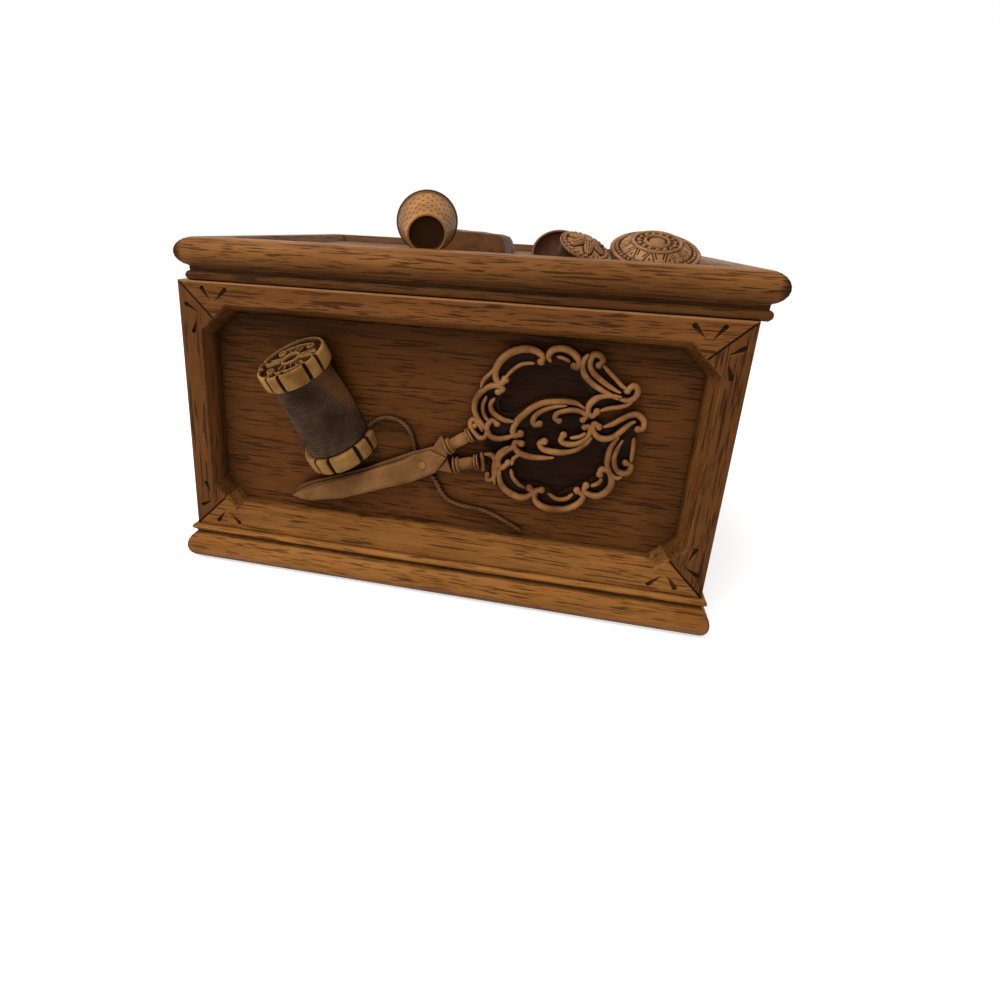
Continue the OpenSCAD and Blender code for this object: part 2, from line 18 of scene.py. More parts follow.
import bmesh
import bpy
from mathutils import Matrix, Vector
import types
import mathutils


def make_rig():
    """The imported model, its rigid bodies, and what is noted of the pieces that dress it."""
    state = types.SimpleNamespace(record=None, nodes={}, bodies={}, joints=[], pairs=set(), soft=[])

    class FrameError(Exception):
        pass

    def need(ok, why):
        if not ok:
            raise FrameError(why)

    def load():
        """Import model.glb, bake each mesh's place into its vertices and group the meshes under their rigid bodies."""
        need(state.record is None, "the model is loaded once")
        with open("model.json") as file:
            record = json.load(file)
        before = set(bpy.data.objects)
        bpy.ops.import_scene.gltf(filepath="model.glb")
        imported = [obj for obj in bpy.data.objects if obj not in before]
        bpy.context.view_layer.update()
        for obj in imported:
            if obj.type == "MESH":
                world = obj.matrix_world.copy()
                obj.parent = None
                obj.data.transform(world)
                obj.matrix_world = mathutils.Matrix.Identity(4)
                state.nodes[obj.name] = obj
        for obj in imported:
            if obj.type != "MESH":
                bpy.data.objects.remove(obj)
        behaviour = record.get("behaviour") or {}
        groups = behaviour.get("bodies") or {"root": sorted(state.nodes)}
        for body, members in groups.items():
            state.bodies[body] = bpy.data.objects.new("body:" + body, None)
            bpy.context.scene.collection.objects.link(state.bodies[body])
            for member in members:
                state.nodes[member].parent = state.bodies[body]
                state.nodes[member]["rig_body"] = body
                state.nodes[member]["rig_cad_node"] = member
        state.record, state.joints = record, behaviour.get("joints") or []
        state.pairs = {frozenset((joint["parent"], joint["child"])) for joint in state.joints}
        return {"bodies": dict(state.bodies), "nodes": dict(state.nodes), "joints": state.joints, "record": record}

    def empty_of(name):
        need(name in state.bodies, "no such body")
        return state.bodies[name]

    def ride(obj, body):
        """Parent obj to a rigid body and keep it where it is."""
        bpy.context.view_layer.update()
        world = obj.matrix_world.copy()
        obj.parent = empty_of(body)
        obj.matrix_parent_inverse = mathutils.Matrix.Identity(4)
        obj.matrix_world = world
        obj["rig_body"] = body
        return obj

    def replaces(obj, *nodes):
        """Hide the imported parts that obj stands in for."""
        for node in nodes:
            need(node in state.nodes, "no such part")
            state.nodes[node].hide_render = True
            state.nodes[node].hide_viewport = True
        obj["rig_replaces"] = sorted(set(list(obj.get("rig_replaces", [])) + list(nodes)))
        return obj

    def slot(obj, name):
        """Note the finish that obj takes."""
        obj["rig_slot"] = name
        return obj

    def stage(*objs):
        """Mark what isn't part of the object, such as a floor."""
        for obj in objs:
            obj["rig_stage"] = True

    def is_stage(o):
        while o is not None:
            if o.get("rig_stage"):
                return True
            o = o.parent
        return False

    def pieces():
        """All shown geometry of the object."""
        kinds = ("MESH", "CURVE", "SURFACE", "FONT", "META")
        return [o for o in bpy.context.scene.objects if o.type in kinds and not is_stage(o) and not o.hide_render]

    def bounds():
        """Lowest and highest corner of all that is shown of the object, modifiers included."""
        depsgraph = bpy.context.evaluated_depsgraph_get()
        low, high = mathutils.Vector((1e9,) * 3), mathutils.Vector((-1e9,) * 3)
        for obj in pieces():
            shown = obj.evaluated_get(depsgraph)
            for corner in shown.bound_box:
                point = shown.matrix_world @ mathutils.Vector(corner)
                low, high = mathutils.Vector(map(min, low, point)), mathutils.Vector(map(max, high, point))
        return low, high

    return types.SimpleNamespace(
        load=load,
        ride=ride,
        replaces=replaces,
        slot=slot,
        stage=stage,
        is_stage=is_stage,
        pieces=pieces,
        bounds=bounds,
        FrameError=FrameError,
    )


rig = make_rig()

log = logging.getLogger("spool_box")

MM = 0.001
SPECULAR = 0.045
SOFT_SAMPLES = 6
EDGE_SAMPLES = 4
ON_PLANE = 1e-7
WELD = 2e-6
WHITE = (1.0, 1.0, 1.0, 1.0)
EVEN = (1, 1, 1)

Point = Sequence[float]
Flat = tuple[float, float]
Colour = tuple[int, int, int]
Socket = bpy.types.NodeSocket
Material = bpy.types.Material


class Grain(Enum):
    """Direction in which a piece's wood grain runs."""

    X = (0.05, 1.0, 1.0)
    Y = (1.0, 0.05, 1.0)
    Z = (1.0, 1.0, 0.05)

    def drawn(self, along: float) -> tuple[float, ...]:
        """Gives the stretch of a pattern with another factor along the grain."""
        return tuple(factor if factor == 1.0 else along for factor in self.value)


class Body(Enum):
    """The two bodies of the frame that pieces ride on."""

    BOX = "box"
    LID = "lid"


def srgb(red: int, green: int, blue: int) -> tuple[float, float, float, float]:
    """Turns an 8-bit sRGB colour into a linear one with alpha.

    Args:
        red: red, 0 to 255.
        green: green, 0 to 255.
        blue: blue, 0 to 255.

    Returns:
        Linear red, green, blue and alpha.
    """
    out = []
    for part in (red, green, blue):
        c = part / 255.0
        out.append(c / 12.92 if c <= 0.04045 else ((c + 0.055) / 1.055) ** 2.4)
    return (out[0], out[1], out[2], 1.0)


class NodeSheet:
    """A material's node tree, with short calls for the nodes that the finishes use."""

    def __init__(self, name: str) -> None:
        """Starts an empty material.

        Args:
            name: name of the material.
        """
        self.material = bpy.data.materials.new(name)
        self.material.use_nodes = True
        self.tree = self.material.node_tree
        self.tree.nodes.clear()
        self.out = self.tree.nodes.new("ShaderNodeOutputMaterial")
        self.shader = self.tree.nodes.new("ShaderNodeBsdfPrincipled")
        self.tree.links.new(self.shader.outputs[0], self.out.inputs[0])
        self.shader.inputs["Specular IOR Level"].default_value = SPECULAR
        place = self.tree.nodes.new("ShaderNodeTexCoord")
        self.place = place.outputs["Object"]
        split = self.tree.nodes.new("ShaderNodeSeparateXYZ")
        self.tree.links.new(self.place, split.inputs[0])
        self.x, self.y, self.z = split.outputs[0], split.outputs[1], split.outputs[2]

    def soft_normal(self, radius: float) -> Socket:
        """Gives normals that round the sharp edges off, as wear does.

        Args:
            radius: radius of the rounding, in metres.

        Returns:
            The normal socket.
        """
        node = self.tree.nodes.new("ShaderNodeBevel")
        node.samples = SOFT_SAMPLES
        node.inputs["Radius"].default_value = radius
        return node.outputs[0]

    def held(self, name: str) -> Socket:
        """Reads a value that was stored on the mesh's points.

        Args:
            name: the value's name.

        Returns:
            The value's socket.
        """
        node = self.tree.nodes.new("ShaderNodeAttribute")
        node.attribute_name = name
        return node.outputs["Fac"]

    def put(self, socket: Socket, value: object) -> None:
        """Links a socket to another one, or sets its plain value.

        Args:
            socket: the input socket.
            value: an output socket or a value.
        """
        if isinstance(value, Socket):
            self.tree.links.new(value, socket)
        else:
            socket.default_value = value

    def math(self, way: str, a: object, b: object = 0.0) -> Socket:
        """Adds a Math node.

        Args:
            way: the operation's name.
            a: first value or socket.
            b: second value or socket.

        Returns:
            The output socket.
        """
        node = self.tree.nodes.new("ShaderNodeMath")
        node.operation = way
        self.put(node.inputs[0], a)
        self.put(node.inputs[1], b)
        return node.outputs[0]

    def product(self, *values: Socket) -> Socket:
        """Multiplies values, so that a mask holds only where all of them do.

        Args:
            values: sockets or numbers.

        Returns:
            The product's socket.
        """
        total = values[0]
        for value in values[1:]:
            total = self.math("MULTIPLY", total, value)
        return total

    def highest(self, *values: object) -> Socket:
        """Gives the highest of some values, so that masks are laid over each other.

        Args:
            values: sockets or numbers.

        Returns:
            The highest value's socket.
        """
        total = values[0]
        for value in values[1:]:
            total = self.math("MAXIMUM", total, value)
        return total

    def off(self, axis: Socket, at: float = 0.0) -> Socket:
        """Gives the distance in metres from the plane that lies at a number of millimetres."""
        return self.math("ABSOLUTE", self.math("SUBTRACT", axis, at * MM))

    def fit(self, value: object, low: float, high: float, to_low: float = 0.0,
            to_high: float = 1.0) -> Socket:
        """Adds a clamped Map Range node.

        Args:
            value: the socket to map.
            low: input value that gives to_low.
            high: input value that gives to_high.
            to_low: output at low.
            to_high: output at high.

        Returns:
            The output socket.
        """
        node = self.tree.nodes.new("ShaderNodeMapRange")
        node.clamp = True
        self.put(node.inputs["Value"], value)
        for key, number in (("From Min", low), ("From Max", high),
                            ("To Min", to_low), ("To Max", to_high)):
            node.inputs[key].default_value = number
        return node.outputs[0]

    def fit_mm(self, value: object, low: float, high: float, to_low: float = 0.0,
               to_high: float = 1.0) -> Socket:
        """Maps a distance or a place as fit does, with low and high in millimetres."""
        return self.fit(value, low * MM, high * MM, to_low, to_high)

    def noise(self, scale: float, stretch: Sequence[float] = EVEN, detail: float = 3.0,
              rough: float = 0.55, warp: float = 0.0, shift: float = 0.0) -> Socket:
        """Adds a Noise Texture in object coordinates.

        Args:
            scale: cells per metre.
            stretch: factor on each axis, small along the grain.
            detail: octaves.
            rough: roughness of the octaves.
            warp: distortion.
            shift: offset that gives another pattern.

        Returns:
            The noise value's socket.
        """
        turn = self.tree.nodes.new("ShaderNodeMapping")
        self.put(turn.inputs["Vector"], self.place)
        turn.inputs["Scale"].default_value = stretch
        turn.inputs["Location"].default_value = (shift, shift * 0.7, shift * 1.3)
        node = self.tree.nodes.new("ShaderNodeTexNoise")
        self.put(node.inputs["Vector"], turn.outputs[0])
        node.inputs["Scale"].default_value = scale
        node.inputs["Detail"].default_value = detail
        node.inputs["Roughness"].default_value = rough
        node.inputs["Distortion"].default_value = warp
        return node.outputs[0]

    def mix(self, amount: object, a: object, b: object) -> Socket:
        """Adds a colour Mix node.

        Args:
            amount: factor, a socket or a number.
            a: first colour.
            b: second colour.

        Returns:
            The mixed colour's socket.
        """
        node = self.tree.nodes.new("ShaderNodeMix")
        node.data_type = "RGBA"
        self.put(node.inputs[0], amount)
        self.put(node.inputs[6], a)
        self.put(node.inputs[7], b)
        return node.outputs[2]

    def crevice(self, reach: float) -> Socket:
        """Gives 0 in narrow places and 1 in the open.

        Args:
            reach: distance looked at, in metres.

        Returns:
            The openness socket.
        """
        node = self.tree.nodes.new("ShaderNodeAmbientOcclusion")
        node.samples = SOFT_SAMPLES
        node.inputs["Distance"].default_value = reach
        return node.outputs["AO"]

    def edge(self, radius: float) -> Socket:
        """Gives a value that rises from 0 near sharp edges.

        Args:
            radius: reach of the edge, in metres.

        Returns:
            The edge socket, about 0 to 1.
        """
        bevel = self.tree.nodes.new("ShaderNodeBevel")
        bevel.samples = EDGE_SAMPLES
        bevel.inputs["Radius"].default_value = radius
        plain = self.tree.nodes.new("ShaderNodeNewGeometry")
        dot = self.tree.nodes.new("ShaderNodeVectorMath")
        dot.operation = "DOT_PRODUCT"
        self.put(dot.inputs[0], bevel.outputs[0])
        self.put(dot.inputs[1], plain.outputs["Normal"])
        return self.fit(dot.outputs["Value"], 0.995, 0.80)

    def segment(self, start: Flat, end: Flat) -> Socket:
        """Gives the distance in metres from a straight line piece, seen from the front.

        Args:
            start: x and z of its first end, in millimetres.
            end: x and z of its second end, in millimetres.

        Returns:
            The distance socket.
        """
        ax, ay = start[0] * MM, start[1] * MM
        dx, dy = (end[0] - start[0]) * MM, (end[1] - start[1]) * MM
        size = math.hypot(dx, dy)
        dx, dy = dx / size, dy / size
        pu, pv = self.math("SUBTRACT", self.x, ax), self.math("SUBTRACT", self.z, ay)
        along = self.math("ADD", self.math("MULTIPLY", pu, dx), self.math("MULTIPLY", pv, dy))
        side = self.math("SUBTRACT", self.math("MULTIPLY", pu, dy), self.math("MULTIPLY", pv, dx))
        past = self.math("SUBTRACT", along, size)
        past = self.highest(past, self.math("MULTIPLY", along, -1.0), 0.0)
        return self.length(side, past)

    def length(self, a: Socket, b: Socket) -> Socket:
        """Gives the length of the line whose run and rise are two values."""
        return self.math("SQRT", self.math("ADD", self.product(a, a), self.product(b, b)))

    def oval(self, centre: Flat, radii: Flat, lean: float = 0.0) -> Socket:
        """Gives the scaled distance from an oval's centre on the front, 1 on its edge.

        Args:
            centre: x and z of the centre, in millimetres.
            radii: the two half widths, in millimetres.
            lean: turn of the oval, in degrees.

        Returns:
            The scaled distance socket.
        """
        c, s = math.cos(math.radians(lean)), math.sin(math.radians(lean))
        px = self.math("SUBTRACT", self.x, centre[0] * MM)
        pz = self.math("SUBTRACT", self.z, centre[1] * MM)
        u = self.math("ADD", self.math("MULTIPLY", px, c), self.math("MULTIPLY", pz, s))
        v = self.math("SUBTRACT", self.math("MULTIPLY", pz, c), self.math("MULTIPLY", px, s))
        u = self.math("DIVIDE", u, radii[0] * MM)
        v = self.math("DIVIDE", v, radii[1] * MM)
        return self.length(u, v)

    def bump(self, height: Socket, depth: float, strength: float,
             over: Optional[Socket] = None) -> Socket:
        """Adds a Bump node.

        Args:
            height: the height socket, 0 to 1.
            depth: depth in metres of a full step.
            strength: strength of the effect.
            over: an earlier bump's normal to build on.

        Returns:
            The normal socket.
        """
        node = self.tree.nodes.new("ShaderNodeBump")
        node.inputs["Distance"].default_value = depth
        node.inputs["Strength"].default_value = strength
        self.put(node.inputs["Height"], height)
        if over is not None:
            self.put(node.inputs["Normal"], over)
        return node.outputs[0]


Mask = Callable[["NodeSheet"], Socket]


@dataclass(frozen=True)
class StainedWood:
    """A stained wood finish: base colours, grain, dark pore streaks, worn edges that are partly a painted highlight,
    and stain with painted shade in crevices.
    """

    name: str
    light: Colour
    dark: Colour
    stain: Colour = (27, 11, 3)
    worn: Colour = (176, 124, 74)
    grain: Grain = Grain.X
    pores: float = 0.75
    crevice: float = 0.006
    rough: float = 0.44
    wear: float = 0.6
    soft: float = 0.0012
    masks: tuple[Mask, ...] = ()
    # Masks of painted highlight, laid on in the worn colour.
    lights: tuple[Mask, ...] = ()

    def material(self) -> Material:
        """Builds the material.

        Returns:
            The new material.
        """
        sheet = NodeSheet(self.name)
        stretch = self.grain.value
        broad = sheet.noise(26, stretch, 4, 0.6, 0.6, 3.1)
        streak = sheet.noise(330, stretch, 3, 0.6, 0.3, 1.7)
        cloud = sheet.noise(18, EVEN, 3, 0.5, 0.0, 5.2)
        pore = sheet.noise(1700, self.grain.drawn(0.06), 1, 0.4, 0.12, 9.4)
        pore = sheet.fit(pore, 0.585, 0.665)
        long_pore = sheet.noise(1000, self.grain.drawn(0.055), 1, 0.4, 0.15, 4.9)
        long_pore = sheet.fit(long_pore, 0.615, 0.675)
        band = sheet.fit(sheet.noise(60, stretch, 2, 0.5, 0.4, 12.3), 0.42, 0.60)
        pore = sheet.math("MULTIPLY", pore, sheet.fit(band, 0.0, 1.0, 0.30, 1.0))
        pore = sheet.math("MAXIMUM", pore, sheet.math("MULTIPLY", long_pore, 0.9))
        tone = sheet.math("ADD", sheet.math("MULTIPLY", broad, 0.5),
                          sheet.math("MULTIPLY", streak, 0.3))
        tone = sheet.math("ADD", tone, sheet.math("MULTIPLY", cloud, 0.35))
        colour = sheet.mix(sheet.fit(tone, 0.42, 0.72), srgb(*self.dark), srgb(*self.light))
        # Lighter worn colour at sharp edges: wear, and partly a painted highlight.
        edge = sheet.edge(0.0007)
        patchy = sheet.fit(sheet.noise(140, EVEN, 3, 0.6, 0.0, 7.7), 0.32, 0.62)
        edge = sheet.math("MULTIPLY", edge, sheet.math("MULTIPLY", patchy, self.wear))
        colour = sheet.mix(edge, colour, srgb(*self.worn))
        colour = sheet.mix(sheet.math("MULTIPLY", pore, self.pores), colour, srgb(*self.stain))
        # Stain colour in crevices from ambient occlusion: stain, and painted shade where less light reaches.
        open_to_light = sheet.crevice(self.crevice)
        hollow = sheet.fit(open_to_light, 0.25, 0.80, 0.85, 0.0)
        colour = sheet.mix(hollow, colour, srgb(*self.stain))
        # The masks darken towards the stain colour; several of them are painted shade.
        for mask in self.masks:
            colour = sheet.mix(mask(sheet), colour, srgb(*self.stain))
        # The lights are painted highlights, laid on in the worn colour.
        for mask in self.lights:
            colour = sheet.mix(mask(sheet), colour, srgb(*self.worn))
        sheet.put(sheet.shader.inputs["Base Color"], colour)
        sheet.put(sheet.shader.inputs["Roughness"],
                  sheet.fit(tone, 0.3, 0.8, self.rough + 0.1, self.rough - 0.06))
        fine = sheet.noise(900, stretch, 2, 0.6, 0.0, 2.2)
        normal = sheet.bump(fine, 0.00012, 0.45, sheet.soft_normal(self.soft))
        normal = sheet.bump(sheet.math("SUBTRACT", 1.0, pore), 0.00025, 0.8, normal)
        sheet.put(sheet.shader.inputs["Normal"], normal)
        return sheet.material


@dataclass(frozen=True)
class CarvedFinish:
    """A carved and wiped finish: lighter edges that are partly a painted highlight, and dark stain with painted shade
    left in the hollows.
    """

    name: str
    high: Colour
    low: Colour
    stain: Colour = (30, 13, 5)
    crevice: float = 0.0035
    open_low: float = 0.30
    open_high: float = 0.85
    rough: float = 0.40
    wear: float = 0.6
    masks: tuple[Mask, ...] = ()
    tints: tuple[Mask, ...] = ()
    tint: Colour = (128, 86, 48)

    def material(self) -> Material:
        """Builds the material.

        Returns:
            The new material.
        """
        sheet = NodeSheet(self.name)
        cloud = sheet.noise(90, EVEN, 4, 0.6, 0.2, 1.3)
        speck = sheet.noise(1400, EVEN, 2, 0.6, 0.0, 4.4)
        tone = sheet.math("ADD", sheet.math("MULTIPLY", cloud, 0.8),
                          sheet.math("MULTIPLY", speck, 0.2))
        colour = sheet.mix(sheet.fit(tone, 0.36, 0.64), srgb(*self.low), srgb(*self.high))
        for mask in self.tints:
            colour = sheet.mix(mask(sheet), colour, srgb(*self.tint))
        # Lighter sharp edges: wear, and partly a painted highlight.
        edge = sheet.math("MULTIPLY", sheet.edge(0.0004), self.wear)
        colour = sheet.mix(edge, colour, srgb(*(min(255, int(c * 1.22)) for c in self.high)))
        # Stain colour in crevices from ambient occlusion: stain, and painted shade where less light reaches.
        open_to_light = sheet.crevice(self.crevice)
        hollow = sheet.fit(open_to_light, self.open_low, self.open_high, 0.93, 0.0)
        colour = sheet.mix(hollow, colour, srgb(*self.stain))
        # Stain stored on the points: stain in carved hollows, and painted shade on the low sides of strokes, under the
        # buttons and in the dished button.
        left = sheet.fit(sheet.held("stain"), 0.0, 1.0, 0.0, 0.94)
        colour = sheet.mix(left, colour, srgb(*self.stain))
        for mask in self.masks:
            colour = sheet.mix(mask(sheet), colour, srgb(*self.stain))
        sheet.put(sheet.shader.inputs["Base Color"], colour)
        sheet.put(sheet.shader.inputs["Roughness"],
                  sheet.fit(cloud, 0.3, 0.7, self.rough + 0.1, self.rough - 0.05))
        normal = sheet.bump(speck, 0.00008, 0.6, sheet.soft_normal(0.0003))
        sheet.put(sheet.shader.inputs["Normal"], normal)
        return sheet.material


@dataclass(frozen=True)
class FeltFinish:
    """A short, dense felt."""

    name: str = "brown_felt"
    high: Colour = (84, 58, 42)
    low: Colour = (52, 33, 22)

    def material(self) -> Material:
        """Builds the material.

        Returns:
            The new material.
        """
        sheet = NodeSheet(self.name)
        fuzz = sheet.noise(1600, EVEN, 4, 0.7, 1.5)
        colour = sheet.mix(sheet.fit(fuzz, 0.35, 0.65), srgb(*self.low), srgb(*self.high))
        sheet.put(sheet.shader.inputs["Base Color"], colour)
        sheet.put(sheet.shader.inputs["Roughness"], sheet.fit(fuzz, 0.3, 0.7, 0.98, 0.85))
        sheet.shader.inputs["Sheen Weight"].default_value = 0.4
        sheet.put(sheet.shader.inputs["Normal"], sheet.bump(fuzz, 0.0004, 0.8))
        return sheet.material


class Clay:
    """Collects points and faces in millimetres and turns them into one piece."""

    def __init__(self, frame: Optional[Matrix] = None) -> None:
        """Starts an empty form.

        Args:
            frame: local frame of the points given, in millimetres.
        """
        self.frame = frame if frame is not None else Matrix.Identity(4)
        self.points: list[Vector] = []
        self.stains: list[float] = []
        self.faces: list[tuple[int, ...]] = []
        self.cut: Optional[tuple[Vector, Vector]] = None

    def add(self, point: Point, stain: float = 0.0) -> int:
        """Adds one point, with the stain left on it from 0 to 1, and returns its number.

        Args:
            point: its place, with the stain as a fourth number if it has its own.
            stain: the stain where the point has none.

        Returns:
            The point's number.
        """
        self.points.append(self.frame @ Vector(point[:3]))
        self.stains.append(point[3] if len(point) > 3 else stain)
        return len(self.points) - 1

    def loft(self, rows: Sequence[Sequence[Point]], around: bool = True) -> None:
        """Joins rows of points with four-sided faces.

        Args:
            rows: rows with the same number of points.
            around: whether each row closes on itself; the first and last then get an end face.
        """
        marks = [[self.add(p) for p in row] for row in rows]
        count = len(marks[0])
        last = count if around else count - 1
        for a, b in zip(marks, marks[1:]):
            for k in range(last):
                m = (k + 1) % count
                self.faces.append((a[k], a[m], b[m], b[k]))
        if around:
            self.faces.append(tuple(reversed(marks[0])))
            self.faces.append(tuple(marks[-1]))

    def turned(self, profile: Sequence[Flat], steps: int = 96,
               shape: Optional[Callable[[float, float, float], tuple[float, ...]]] = None) -> None:
        """Turns a profile round the local Z axis.

        Args:
            profile: radius and height pairs, from the bottom to the middle of the top.
            steps: number of steps round.
            shape: changes radius and height by angle; takes radius, height and angle.
        """
        rows = []
        for radius, height in profile:
            row = []
            for k in range(steps):
                angle = math.tau * k / steps
                r, z, *rest = shape(radius, height, angle) if shape else (radius, height)
                row.append((r * math.cos(angle), r * math.sin(angle), z, rest[0] if rest else 0.0))
            rows.append(row)
        self.loft(rows)

    def ball(self, centre: Point, radius: float, steps: int = 12) -> None:
        """Adds a ball.

        Args:
            centre: its centre.
            radius: its radius.
            steps: number of steps round.
        """
        rows = []
        for i in range(1, steps // 2):
            tip = math.pi * i / (steps // 2)
            rows.append([(centre[0] + radius * math.sin(tip) * math.cos(math.tau * k / steps),
                          centre[1] + radius * math.sin(tip) * math.sin(math.tau * k / steps),
                          centre[2] - radius * math.cos(tip)) for k in range(steps)])
        self.loft(rows)

    def tube(self, path: Sequence[Point], radii: Sequence[float], sides: int,
             up: Point = (0, -1, 0), flat: float = 1.0, low_side_stain_and_shade: float = 0.0) -> None:
        """Adds a tube along a path.

        Args:
            path: points of its middle line.
            radii: its radius at each point.
            sides: number of sides.
            up: direction that the section is flattened in.
            flat: thickness along up as a share of the radius.
            low_side_stain_and_shade: dark stain and painted shade left on the side away from up.
        """
        line = [Vector(p) for p in path]
        rows = []
        for i, p in enumerate(line):
            way = heading(line, i)
            side = way.cross(Vector(up)).normalized()
            rise = side.cross(way)
            row = []
            for k in range(sides):
                tall = math.sin(math.tau * k / sides)
                spot = p + radii[i] * (math.cos(math.tau * k / sides) * side + flat * tall * rise)
                # The side away from up is darkened: stain and painted shade.
                row.append((*spot, low_side_stain_and_shade * min(1.0, max(0.0, 0.62 - tall))))
            rows.append(row)
        self.loft(rows)

    def keep_outside(self, point: Point, outward: Point) -> None:
        """Marks a plane: what lies behind it is cut off when the piece is made."""
        self.cut = (Vector(point), Vector(outward))

    def piece(self, name: str, material: Material, smooth: float = 40.0) -> bpy.types.Object:
        """Makes the object.

        Args:
            name: name of the object.
            material: its finish.
            smooth: greatest angle in degrees that is shaded smooth.

        Returns:
            The new object.
        """
        form = bmesh.new()
        layer = form.verts.layers.float.new("stain")
        marks = [form.verts.new(p * MM) for p in self.points]
        for mark, stain in zip(marks, self.stains):
            mark[layer] = stain
        for face in self.faces:
            try:
                form.faces.new([marks[k] for k in face])
            except ValueError:
                continue
        if self.cut is not None:
            bmesh.ops.bisect_plane(form, geom=form.verts[:] + form.edges[:] + form.faces[:],
                                   dist=ON_PLANE, plane_co=self.cut[0] * MM,
                                   plane_no=self.cut[1], clear_inner=True)
        bmesh.ops.remove_doubles(form, verts=form.verts, dist=WELD)
        bmesh.ops.recalc_face_normals(form, faces=form.faces)
        mesh = bpy.data.meshes.new(name)
        form.to_mesh(mesh)
        form.free()
        mesh.materials.append(material)
        item = bpy.data.objects.new(name, mesh)
        bpy.context.scene.collection.objects.link(item)
        shade(item, smooth)
        return item


def shade(item: bpy.types.Object, angle: float) -> None:
    """Shades an object smooth, with edges sharper than the angle kept.

    Args:
        item: the object.
        angle: the angle in degrees.
    """
    form = bmesh.new()
    form.from_mesh(item.data)
    limit = math.radians(angle)
    for face in form.faces:
        face.smooth = True
    for edge in form.edges:
        edge.smooth = len(edge.link_faces) == 2 and edge.calc_face_angle(0.0) < limit
    form.to_mesh(item.data)
    form.free()


def flow(route: Sequence[Flat], steps: int = 6) -> list[Flat]:
    """Draws a smooth curve through points.

    Args:
        route: the points.
        steps: points made for each stretch.

    Returns:
        The finer route.
    """
    out: list[Flat] = []
    last = len(route) - 1
    for i in range(last):
        a, b = route[max(i - 1, 0)], route[i]
        c, d = route[i + 1], route[min(i + 2, last)]
        for k in range(steps):
            t = k / steps
            out.append(tuple(0.5 * (2 * b[n] + (c[n] - a[n]) * t
                                    + (2 * a[n] - 5 * b[n] + 4 * c[n] - d[n]) * t * t
                                    + (3 * b[n] - a[n] - 3 * c[n] + d[n]) * t ** 3)
                             for n in range(len(b))))
    out.append(tuple(route[last]))
    return out


def heading(line: Sequence[Vector], i: int) -> Vector:
    """Gives the direction of a line of points at one of them."""
    return (line[min(i + 1, len(line) - 1)] - line[max(i - 1, 0)]).normalized()


def ridge(distance: float, width: float) -> float:
    """Gives a smooth hump of height 1 at distance 0.

    Args:
        distance: distance from its middle.
        width: distance at which it has fallen to about a third.

    Returns:
        The height.
    """
    return math.exp(-(distance / width) ** 2)


def dress(node: str, material: Material, slot: str) -> None:
    """Gives a node of the frame a finish.

    Args:
        node: the node's name.
        material: its new material.
        slot: the material slot of the record.
    """
    item = FRAME["nodes"][node]
    item.data.materials.clear()
    item.data.materials.append(material)
    for face in item.data.polygons:
        face.material_index = 0
    log.info("dressed %s with %s (%s)", node, material.name, slot)


def settle(item: bpy.types.Object, body: Body, nodes: Iterable[str], slot: str) -> None:
    """Lets a piece ride on a body and stand for nodes.

    Args:
        item: the piece.
        body: the body it rides on.
        nodes: the nodes that it replaces.
        slot: its material slot.
    """
    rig.ride(item, body.value)
    names = list(nodes)
    if names:
        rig.replaces(item, *names)
    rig.slot(item, slot)
    log.info("built %s for %s: %d faces", item.name, ", ".join(names) or "detail",
             len(item.data.polygons))


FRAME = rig.load()
CAD_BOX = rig.bounds()


@dataclass
class View:
    """The photograph's camera, found by fitting the box's edges.

    Its place is in millimetres, and focal, middle and size are in pixels.
    """

    at: Point = (48.674, -333.216, 166.698)
    right: Point = (0.9773, 0.2066, 0.0473)
    up: Point = (-0.1102, 0.3046, 0.9461)
    forward: Point = (-0.181, 0.9298, -0.3205)
    focal: float = 607.6752
    middle: Flat = (439.0484, 429.4139)
    size: float = 1000.0
    film: float = 36.0

    def build(self) -> None:
        """Adds the camera and makes it the scene's own."""
        lens = bpy.data.cameras.new("photo_camera")
        lens.sensor_fit = "HORIZONTAL"
        lens.sensor_width = self.film
        lens.lens = self.film * self.focal / self.size
        lens.shift_x = (self.size / 2 - self.middle[0]) / self.size
        lens.shift_y = (self.middle[1] - self.size / 2) / self.size
        lens.clip_start = 0.01
        item = bpy.data.objects.new("photo_camera", lens)
        forward = Vector(self.forward).normalized()
        right = Vector(self.right)
        right = (right - forward * right.dot(forward)).normalized()
        up = right.cross(forward)
        turn = Matrix((right, up, -forward)).transposed().to_4x4()
        item.matrix_world = Matrix.Translation(Vector(self.at) * MM) @ turn
        bpy.context.scene.collection.objects.link(item)
        bpy.context.scene.camera = item
        log.info("camera set")


